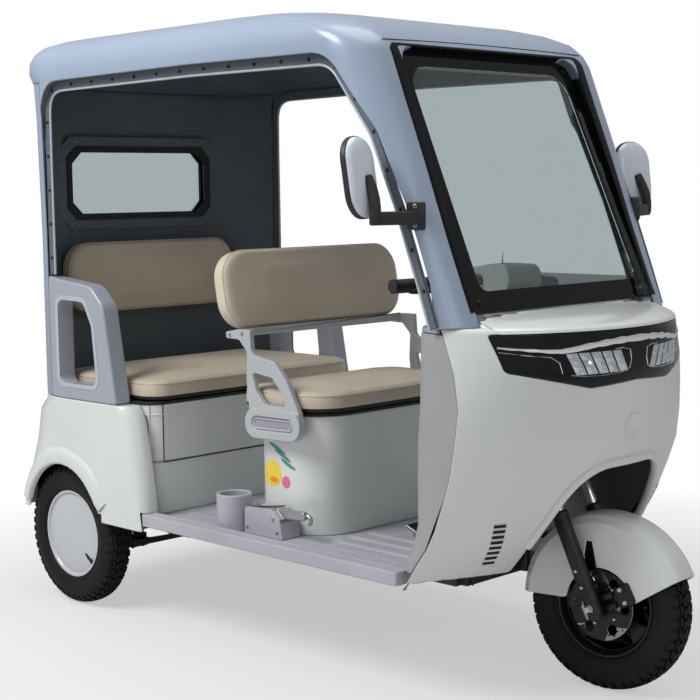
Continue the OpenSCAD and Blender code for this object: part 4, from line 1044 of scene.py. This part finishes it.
def grip_point(side, y):
    out = max(y - 223, 0)
    return turned(1235 - 20 * min(y / 223, 1) - 0.26 * out, side * y, 960 - 8 * min(y / 223, 1) - 0.05 * out)


grip_rings = [(0.0112, 0.0), (0.0188, 0.0), (0.0188, 0.004), (0.0158, 0.006)]
for rib in range(15):
    start = 0.009 + rib * 0.0064
    grip_rings += [(0.0154, start), (0.0168, start + 0.0012), (0.0168, start + 0.0034), (0.0154, start + 0.0046)]
grip_rings += [(0.0158, 0.106), (0.0172, 0.108), (0.0172, 0.1115), (0.015, 0.1125), (0, 0.1125)]
shape = bmesh.new()
for side in (-1, 1):
    foot, tip_end = grip_point(side, 239), grip_point(side, 348)
    turn = (tip_end - foot).to_track_quat("Z", "Y").to_matrix().to_4x4()
    lathe(shape, grip_rings, Matrix.Translation(foot) @ turn, 36)
grips = shown("bar_grips", shape, [rubber], body="steering", slot="grip_rubber", crease=40)
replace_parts(grips, "grips")
levers = []
for side in (-1, 1):
    levers.append(smooth_path([turned(1252, side * 208, 946), turned(1262, side * 232, 942), turned(1250, side * 286, 937),
                               turned(1229, side * 326, 935), turned(1222, side * 337, 938)], 5))
rods("hand_levers", levers, 0.0052, [frame_black], body="steering", slot="frame_paint", steps=4)
shape = bmesh.new()
for side in (-1, 1):
    foot, on = grip_point(side, 196), grip_point(side, 232)
    turn = (on - foot).to_track_quat("Z", "Y").to_matrix().to_4x4()
    lathe(shape, [(0.0112, 0), (0.0205, 0.001), (0.022, 0.003), (0.022, 0.03), (0.0205, 0.032), (0.0112, 0.033),
                  (0.0112, 0)], Matrix.Translation(foot) @ turn, 36)
shown("switch_pods", shape, [frame_black], body="steering", slot="frame_paint", crease=40)
pale_cover = gloss_panel("bar_cover_pale", tint(214, 214, 208), tint(204, 205, 200), 0.4, 0.3)
moulding("bar_cover", "handlebar_cover", [pale_cover], 5, crease=40, body="steering")
shape = bmesh.new()
rise = math.atan2(14, 116)
panel = (from_car @ Matrix.Translation(((1254 - 1557.811) / 1000, 0, (997.2 - 192.321) / 1000))
         @ Matrix.Rotation(-rise, 4, "Y"))
bars(shape, [(-28, 30, -46, 46, -1, 1.6)], 1.2, panel)
shown("bar_display", shape, [smoke], body="steering", slot="black_trim", crease=40)

# Front mudguard: one gloss white moulding over the tyre, in a front and a rear flap that are bolted to
# the fork's lower legs.
moulding("front_mudguard_shell", "front_mudguard", [white_gloss], 1.6, crease=30, body="steering")
front_hub = from_car @ Matrix.Translation(((1585 - 1557.811) / 1000, 0, (205 - 192.321) / 1000))
shape = bmesh.new()
for side in (-1, 1):
    outward = (front_hub.to_3x3() @ Vector((0, side, 0))).normalized()
    studs(shape, [front_hub @ Vector((x, side * 0.0526, z)) for x, z in ((0.004, 0.086), (0.018, 0.042))], outward,
          0.0055, 0.004, 16)
shown("mudguard_bolts", shape, [black_and_painted_shadow], body="steering", slot="black_trim", crease=40)
# Tyres: black rubber on three like wheels. A plain carcass with moulded side rings carries separate
# tread blocks: a cut centre rib, a middle row and deep shoulder lugs.
tyre_rubber = Finish("tyre_rubber", tint(16, 17, 19), 0.7, specular_ior_level=0.28)
dusty = tyre_rubber.noise(11, 5, 0.6).held(0.45, 0.8)
tyre_rubber.feed(Base_Color=tyre_rubber.mix(dusty, tint(14, 15, 17), tint(30, 29, 29)))
tyre_rubber.feed(Roughness=dusty * 0.15 + 0.62)
tyre_rubber.bump(tyre_rubber.noise(380, 3), 0.0003, 0.5)
crown_rows = ((0, 205), (10, 204.7), (20, 203), (28, 199.6), (34, 194.6), (39, 186.5), (41.9, 175))


def crown_radius(across):
    reach = abs(across)
    for (a, high), (b, low) in zip(crown_rows, crown_rows[1:]):
        if reach <= b:
            return high + (low - high) * (reach - a) / (b - a)
    return crown_rows[-1][1]


half_side = [(0.198, 0.0), (0.1978, 0.010), (0.196, 0.020), (0.1925, 0.028), (0.1875, 0.034), (0.180, 0.0385),
             (0.170, 0.0405), (0.160, 0.0412), (0.1572, 0.0419), (0.1540, 0.0419), (0.1528, 0.0408), (0.146, 0.0392),
             (0.1395, 0.0371), (0.1385, 0.0378), (0.1355, 0.0376), (0.1348, 0.0352), (0.1285, 0.0318), (0.127, 0.029)]
tyre_section = [(r, -h) for r, h in reversed(half_side)] + half_side[1:] + [(0.127, -0.029)]
tread_rows = ((-4.5, 4.5, 0.06, 0.80, 0.10), (7, 17, 0.30, 0.74, 0.16), (-17, -7, 0.30, 0.74, -0.16),
              (20, 27.5, 0.02, 0.70, -0.14), (-27.5, -20, 0.02, 0.70, 0.14),
              (30.5, 40.5, 0.26, 0.62, 0.12), (-40.5, -30.5, 0.26, 0.62, -0.12))
pitches = 46


def tyre(name, node, body, hub):
    axle = hub @ Matrix.Rotation(-math.pi / 2, 4, "X")
    shape = bmesh.new()
    lathe(shape, tyre_section, axle, 96)
    blocks = bmesh.new()
    for k in range(pitches):
        for low, high, start, length, skew in tread_rows:
            rings = []
            for share in (0, 0.5, 1):
                across = low + (high - low) * share
                radius = crown_radius(across)
                bend = skew * (share - 0.5)
                for end in (start + bend, start + bend + length):
                    angle = math.tau * (k + end) / pitches
                    for depth in (0, 8):
                        rings.append(blocks.verts.new(axle @ Vector((
                            (radius - depth) / 1000 * math.cos(angle), (radius - depth) / 1000 * math.sin(angle),
                            across / 1000 * (1 - 0.02 * depth)))))
            for s in (0, 4):
                a, b, c, d, e, f, g, h = rings[s:s + 8]
                blocks.faces.new((a, c, g, e))
                blocks.faces.new((a, e, f, b))
                blocks.faces.new((c, d, h, g))
            blocks.faces.new((rings[0], rings[1], rings[3], rings[2]))
            blocks.faces.new((rings[8], rings[10], rings[11], rings[9]))
    bmesh.ops.recalc_face_normals(blocks, faces=blocks.faces)
    keen = [e for e in blocks.edges if len(e.link_faces) == 2 and e.calc_face_angle(0) > 0.6]
    bmesh.ops.bevel(blocks, geom=keen, offset=0.0008, segments=1, affect="EDGES", profile=0.5, material=-1)
    lugs = bpy.data.meshes.new("lugs")
    blocks.to_mesh(lugs)
    blocks.free()
    shape.from_mesh(lugs)
    bpy.data.meshes.remove(lugs)
    piece = shown(name, shape, [tyre_rubber], body=body, slot="tyre", crease=38)
    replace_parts(piece, node)
    return piece


rear_hubs = {side: Matrix.Translation(at(0, side * 398, 205)) for side in (-1, 1)}
tyre("front_tyre_treaded", "front_tyre", "front_wheel", front_hub)
tyre("rear_tyre_treaded_right", "rear_tyre_right", "rear_wheel_right", rear_hubs[-1])
tyre("rear_tyre_treaded_left", "rear_tyre_left", "rear_wheel_left", rear_hubs[1])

# Front wheel: a black cast alloy with five wide windows and a drilled steel brake disc. A black
# caliper on the right fork leg grips the disc.
rim_black = Finish("black_alloy", tint(18, 19, 22), 0.34, specular_ior_level=0.4)
rim_black.feed(Base_Color=rim_black.mix(rim_black.noise(8, 4).held(0.4, 0.8), tint(16, 17, 20), tint(30, 30, 32)))
rim_black.feed(Roughness=rim_black.noise(60, 4).held(0.3, 0.8) * 0.2 + 0.28)
disc_steel = Finish("brake_disc_steel", tint(150, 152, 156), 0.3, metallic=1.0)
disc_steel.feed(Roughness=disc_steel.noise(240, 3, 0.6).held(0.3, 0.8) * 0.2 + 0.2)


def is_disc(middle, normal):
    here = front_hub.inverted() @ middle
    return -0.0446 < here.y < -0.0398 and 0.031 < math.hypot(here.x, here.z) < 0.0846


moulding("front_alloy", "front_rim", [rim_black, disc_steel], 2.2, crease=28, body="front_wheel",
         inside=is_disc)
right_face = front_hub @ Matrix.Rotation(math.pi / 2, 4, "X")
outward = (front_hub.to_3x3() @ Vector((0, -1, 0))).normalized()
# The disc's drilled holes are near-black dots laid on its face: painted shade where the holes are.
shape = bmesh.new()
for k in range(36):
    angle = math.tau * k / 36
    reach = 0.071 if k % 2 else 0.077
    lathe(shape, [(0, 0.0441), (0.0026, 0.0441), (0.0026, 0.0437), (0, 0.0437)], right_face @ Matrix.Translation(
        (reach * math.cos(angle), reach * math.sin(angle), 0)), 10)
shown("disc_holes", shape, [black_and_painted_shadow], body="front_wheel", slot="black_trim", crease=40)
shape = bmesh.new()
for k in range(5):
    angle = math.tau * (k + 0.5) / 5
    studs(shape, [right_face @ Vector((0.046 * math.cos(angle), 0.046 * math.sin(angle), 0.0455))], outward, 0.0055, 0.004, 6)
tail = [right_face @ Vector((0.112, 0.012, z)) for z in (0.012, 0.026, 0.038)]
shown("disc_bolts", shape, [steel], body="front_wheel", slot="bare_metal", crease=30)
tube("front_valve", tail, 0.003, [rubber], body="front_wheel", slot="black_trim", steps=3)
caliper = from_car @ Matrix.Translation(((1585 - 1557.811) / 1000, 0, (205 - 192.321) / 1000)) @ Matrix.Rotation(
    math.radians(-28), 4, "Y")
shape = bmesh.new()
bars(shape, [(48, 96, -60, -46, -26, 26), (52, 92, -39, -34, -24, 24), (84, 98, -58, -36, -22, 22)], 4, caliper, 3)
bars(shape, [(14, 52, -66, -56, 6, 20), (14, 52, -66, -56, -20, -6)], 2, caliper)
shown("brake_caliper", shape, [rim_black], body="steering", slot="black_trim", crease=35)
shape = bmesh.new()
sideways = (caliper.to_3x3() @ Vector((0, -1, 0))).normalized()
studs(shape, [caliper @ Vector((0.072, -0.0605, z)) for z in (-0.016, 0.016)], sideways, 0.007, 0.004, 20)
studs(shape, [caliper @ Vector((0.056, -0.062, z)) for z in (-0.022, 0.022)], sideways, 0.004, 0.005, 6)
shown("caliper_bolts", shape, [steel], body="steering", slot="bare_metal", crease=30)

# Rear wheels: pressed black steel rims, each under a pale grey domed cover with a notch at its edge for
# the tyre's valve.
cover_grey = gloss_panel("wheel_cover_grey", tint(196, 199, 203), tint(184, 188, 193), 0.34, 0.4)
for side, word in ((-1, "right"), (1, "left")):
    body = f"rear_wheel_{word}"
    moulding(f"rear_wheel_{word}_rim", f"rear_rim_{word}", [cover_grey, rim_black], 1.5, crease=28, body=body,
             inside=lambda c, n: abs(c.y) < 0.4098)
    face = rear_hubs[side] @ Matrix.Rotation(-side * math.pi / 2, 4, "X")
    shape = bmesh.new()
    notch = math.radians(-38 if side < 0 else -142)
    lie = face @ Matrix.Rotation(notch, 4, "Z")
    bars(shape, [(78, 121.5, -6.5, 6.5, 18, 32.8)], 5.5, lie, 4)
    shown(f"wheel_cover_notch_{word}", shape, [black_and_painted_shadow], body=body, slot="black_trim", crease=40)
    tube(f"rear_valve_{word}", [lie @ Vector((0.104, 0, 0.028)), lie @ Vector((0.094, 0, 0.0335))], 0.0032, [rubber],
         body=body, slot="black_trim", steps=3)
# Mirrors: white oval shells in black rims, each on a curved black arm from a square bar. The bar's foot
# is screwed to a flat pad on the front pillar with two bright bolts.
mirror_silver = Finish("mirror_silver", (0.9, 0.91, 0.92, 1), 0.02, metallic=1.0)
mirror_silver.feed(Roughness=mirror_silver.noise(18, 4, 0.7).held(0.6, 0.9) * 0.05 + 0.01)
shell_white = gloss_panel("mirror_shell_white", tint(214, 222, 230), tint(203, 212, 222), 0.28, 0.6)
plastic_black = Finish("black_plastic", tint(28, 29, 32), 0.48)
plastic_black.feed(Base_Color=plastic_black.mix(plastic_black.noise(10, 3), tint(25, 26, 29), tint(36, 37, 40)))
plastic_black.bump(plastic_black.noise(640, 2), 0.0003, 0.4)
shell_rows = ((-16, 3.5), (-15.5, 1.6), (-13, 0.2), (-4, 0), (-2, 0.8), (-1.4, 2.2), (2, 3), (7, 7), (11, 14), (14, 24),
              (15.6, 38), (16, 50))
mirror_pieces = []
for side, word in ((-1, "right"), (1, "left")):
    head = (Matrix.Translation(at(1290, side * 520, 1215)) @ Matrix.Rotation(math.radians(-14 * side), 4, "Z")
            @ Matrix.Rotation(math.radians(-8), 4, "Y"))
    oval = round_loop([(-58, -92), (58, -92), (58, 92), (-58, 92)], 54, 12)
    shape = bmesh.new()
    rings = []
    for depth, tuck in shell_rows:
        rings.append([shape.verts.new(head @ Vector((depth / 1000, p.x / 1000 * (58 - tuck) / 58,
                                                     p.y / 1000 * (92 - tuck) / 92))) for p in oval])
    for row, (a, b) in enumerate(zip(rings, rings[1:])):
        for i in range(len(a)):
            face = shape.faces.new((a[i - 1], a[i], b[i], b[i - 1]))
            face.material_index = 1 if row >= 5 else 0
    shape.faces.new(rings[-1]).material_index = 1
    back = shape.faces.new(list(reversed(rings[0])))
    bmesh.ops.inset_region(shape, faces=[back], thickness=0.003, depth=-0.0012, use_even_offset=True)
    back.material_index = 2
    bmesh.ops.recalc_face_normals(shape, faces=shape.faces)
    mirror_pieces.append(shown(f"mirror_{word}", shape, [plastic_black, shell_white, mirror_silver], slot="black_trim",
                               crease=35))
    arm = smooth_path([at(1330, side * 520, 1116), at(1331, side * 520, 1140), at(1327, side * 519, 1166),
                       at(1316, side * 517, 1192), at(1303, side * 516, 1214)], 6)
    mirror_pieces.append(tube(f"mirror_arm_{word}", arm, 0.0125, [plastic_black], slot="black_trim"))
    shape = bmesh.new()
    reach = Vector((1330 - 1371, side * (520 - 411), 0))
    span = (Matrix.Translation(at(1371, side * 411, 1124))
            @ Matrix.Rotation(math.atan2(reach.y, reach.x), 4, "Z"))
    bars(shape, [(0, reach.length + 12, -9, 9, -15, 15)], 4, span, 3)
    foot = Matrix.Translation(at(1279, side * 353, 1128)) @ Matrix.Rotation(math.radians(40 * side), 4, "Z")
    bars(shape, [(96, 117.5, -21, 21, -31, 31)], 5, foot, 3)
    mirror_pieces.append(shown(f"mirror_bracket_{word}", shape, [plastic_black], slot="black_trim", crease=35))
    shape = bmesh.new()
    bolt_way = (foot.to_3x3() @ Vector((1, 0, 0))).normalized()
    studs(shape, [foot @ Vector((0.118, 0.004 * side, 0.021)), foot @ Vector((0.118, 0.004 * side, -0.021))], bolt_way,
          0.0068, 0.004, 20)
    shown(f"mirror_bolts_{word}", shape, [steel], slot="bare_metal", crease=40)
    shape = bmesh.new()
    studs(shape, [foot @ Vector((0.1186, 0.004 * side, 0.021)), foot @ Vector((0.1186, 0.004 * side, -0.021))], bolt_way,
          0.0033, 0.0052, 6)
    shown(f"mirror_bolt_sockets_{word}", shape, [plastic_black], slot="black_trim", crease=40)
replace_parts(mirror_pieces[0], "mirrors")
for piece in mirror_pieces[1:]:
    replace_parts(piece, "mirrors")

# Wiper: two black rods side by side from a spindle at the glass's foot, with a rubber blade that
# parks upright along the left pillar.
shape = bmesh.new()
out_turn = Matrix.Rotation(math.pi / 2 - lean, 4, "Y")


def on_glass(across, up, out):
    return Matrix.Translation(on_screen(across, up, out)) @ out_turn


lathe(shape, [(0, 0.0), (0.0125, 0.0), (0.0125, 0.009), (0.010, 0.013), (0.004, 0.0145), (0, 0.0145)],
      on_glass(300, 20, 6.8), 32)
wiper = shown("wiper_spindle", shape, [plastic_black], slot="black_trim", crease=35)
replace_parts(wiper, "wiper")
rods("wiper_rods", [[on_screen(296, 20, 17), on_screen(296, 120, 18), on_screen(298, 346, 17)],
                    [on_screen(304, 22, 17), on_screen(304, 120, 18), on_screen(302, 346, 17)]], 0.0028, [plastic_black],
     slot="black_trim", steps=4)
shape = bmesh.new()
blade = Matrix.Translation(screen_foot) @ Matrix.Rotation(-lean, 4, "Y")
bars(shape, [(12.5, 16.5, 294, 306, 130, 510)], 1.6, blade)
bars(shape, [(9.5, 19.5, 293, 307, 326, 366), (7, 9.5, 280, 320, 6, 34)], 1.6, blade)
shown("wiper_blade_frame", shape, [plastic_black], slot="black_trim", crease=40)
shape = bmesh.new()
bars(shape, [(5.6, 13, 298.6, 301.4, 122, 518)], 0.8, blade)
shown("wiper_blade", shape, [rubber], slot="black_trim", crease=40)

# Door frames: a dark slate flange, in the colour that paints the shade inside the cab, is screwed inside each door
# opening, and a pale piping strip covers its inner edge. A pressed seam runs round the roof's front, above the
# windscreen.
door_path = [(-54, 958, 0), (-54, 1310, 0), (-52, 1500, 90), (610, 1506, 0), (1120, 1502, 110), (1258, 1326, 160),
             (1338, 1150, 60), (1403, 977, 60), (1436, 884, 0)]


def open_path(rows, steps=8):
    """Rounds the inner corners of an open line, and returns points along it."""
    points = [Vector(rows[0][:2])]
    for i in range(1, len(rows) - 1):
        here = Vector(rows[i][:2])
        back = (Vector(rows[i - 1][:2]) - here).normalized()
        on = (Vector(rows[i + 1][:2]) - here).normalized()
        half = math.acos(max(-1, min(1, back.dot(on)))) / 2
        if rows[i][2] <= 0 or half > 1.56:
            points.append(here)
            continue
        reach = rows[i][2] / math.tan(half)
        for k in range(steps + 1):
            t = k / steps
            start, end = here + back * reach, here + on * reach
            points.append(start * (1 - t) ** 2 + here * 2 * t * (1 - t) + end * t * t)
    return points + [Vector(rows[-1][:2])]


def inward(points, distance):
    moved = []
    for i, p in enumerate(points):
        way = (points[min(i + 1, len(points) - 1)] - points[max(i - 1, 0)]).normalized()
        moved.append(p + Vector((way.y, -way.x)) * distance)
    return moved


line = open_path(door_path)
for side, word in ((-1, "right"), (1, "left")):
    shape = bmesh.new()
    rows = []
    for distance, level in ((0.0, 442), (0.0, 438), (24, 436), (24, 433), (0.0, 433)):
        rows.append([shape.verts.new(at(p.x, side * level, p.y)) for p in inward(line, distance)])
    for a, b in zip(rows, rows[1:] + rows[:1]):
        for i in range(len(a) - 1):
            shape.faces.new((a[i], a[i + 1], b[i + 1], b[i]))
    bmesh.ops.recalc_face_normals(shape, faces=shape.faces)
    shown(f"door_flange_{word}", shape, [slate_and_cab_shade], slot="black_trim", crease=40)
    inner = [at(p.x, side * 436, p.y) for p in inward(line, 25)]
    tube(f"door_piping_{word}", inner, 0.0034, [rail_paint], slot="cab_panel", steps=3)
    marks, travelled, spots = inward(line, 11), 0.0, []
    for a, b in zip(marks, marks[1:]):
        step = (b - a).length
        while travelled + step > 96 * (len(spots) + 0.5):
            share = (96 * (len(spots) + 0.5) - travelled) / step
            spots.append(a.lerp(b, share))
        travelled += step
    shape = bmesh.new()
    studs(shape, [at(p.x, side * 438.4, p.y) for p in spots], Vector((0, side, 0)), 0.0052, 0.0034, 14)
    shown(f"door_screws_{word}", shape, [black_and_painted_shadow], slot="black_trim", crease=40)
run = []
for across in range(-372, 373, 12):
    spot, normal = laid(roof_skin, at(2200, across, 1534 - 5 * (across / 372) ** 2), backward)
    if spot:
        run.append(spot)
tube("roof_front_seam", run, 0.0014, [black_and_painted_shadow], slot="black_trim", steps=3)

# Photographer's set: a plain pale floor, three soft lamps, and the camera where the photograph's was.
camera = bpy.data.objects.new("camera", bpy.data.cameras.new("camera"))
camera.location = at(3651.27, -2917.65, 1187.83)
yaw, pitch, roll = math.radians(135.09), math.radians(-6.02), math.radians(-0.81)
sight = Vector((math.cos(yaw) * math.cos(pitch), math.sin(yaw) * math.cos(pitch), math.sin(pitch)))
camera.rotation_euler = (sight.to_track_quat("-Z", "Y").to_matrix() @ Matrix.Rotation(roll, 3, "Z")).to_euler()
camera.data.sensor_width, camera.data.lens = 36, 36 * 1520 / 700
camera.data.clip_start, camera.data.clip_end = 0.1, 60
bpy.context.scene.collection.objects.link(camera)
bpy.context.scene.camera = camera

floor_shape = bmesh.new()
bmesh.ops.create_grid(floor_shape, x_segments=1, y_segments=1, size=14)
floor_mesh = bpy.data.meshes.new("studio_floor")
floor_shape.to_mesh(floor_mesh)
floor_shape.free()
studio_floor = bpy.data.objects.new("studio_floor", floor_mesh)
studio_floor.location.z = -0.0005
bpy.context.scene.collection.objects.link(studio_floor)
floor_finish = Finish("studio_floor", (0.66, 0.66, 0.66, 1), 0.9)
glow = floor_finish.node("ShaderNodeEmission")
reach = floor_finish.node("ShaderNodeVectorMath", {"operation": "LENGTH"}, {0: floor_finish.place})("Value")
seen_floor = floor_finish.node("ShaderNodeLightPath")("Is Camera Ray")
share = reach.held(1.1, 2.2) * 0.5 + 0.5
blend = floor_finish.node("ShaderNodeMixShader", {}, {0: share * seen_floor})
floor_finish.tree.links.new(floor_finish.shader.outputs["BSDF"], blend("Shader").socket.node.inputs[1])
floor_finish.tree.links.new(glow("Emission").socket, blend("Shader").socket.node.inputs[2])
floor_finish.tree.links.new(blend("Shader").socket, floor_finish.tree.nodes["Material Output"].inputs["Surface"])
floor_mesh.materials.append(floor_finish.material)

world = bpy.data.worlds.new("studio")
bpy.context.scene.world = world
world.use_nodes = True
sky = world.node_tree
ray = sky.nodes.new("ShaderNodeLightPath")
seen = Wave(sky, ray.outputs["Is Camera Ray"]) + Wave(sky, ray.outputs["Is Transmission Ray"])
sky_light = 0.36
strength = seen.maths("MINIMUM", seen, 1) * (1 - sky_light) + sky_light
sky.links.new(strength.socket, sky.nodes["Background"].inputs["Strength"])
sky.nodes["Background"].inputs["Color"].default_value = (1, 1, 1, 1)

for name, place, size, power in (
    ("key_lamp", (-0.9, -3.0, 3.9), 2.2, 150),
    ("front_lamp", (4.0, -1.2, 2.6), 1.8, 14),
    ("top_lamp", (0.2, 0.4, 4.8), 3.0, 60),
):
    lamp = bpy.data.objects.new(name, bpy.data.lights.new(name, "AREA"))
    lamp.data.shape, lamp.data.size, lamp.data.energy = "DISK", size, power
    lamp.location = place
    lamp.rotation_euler = (Vector((0, 0, 0.8)) - Vector(place)).to_track_quat("-Z", "Y").to_euler()
    bpy.context.scene.collection.objects.link(lamp)

bpy.context.scene.view_settings.view_transform = "Standard"
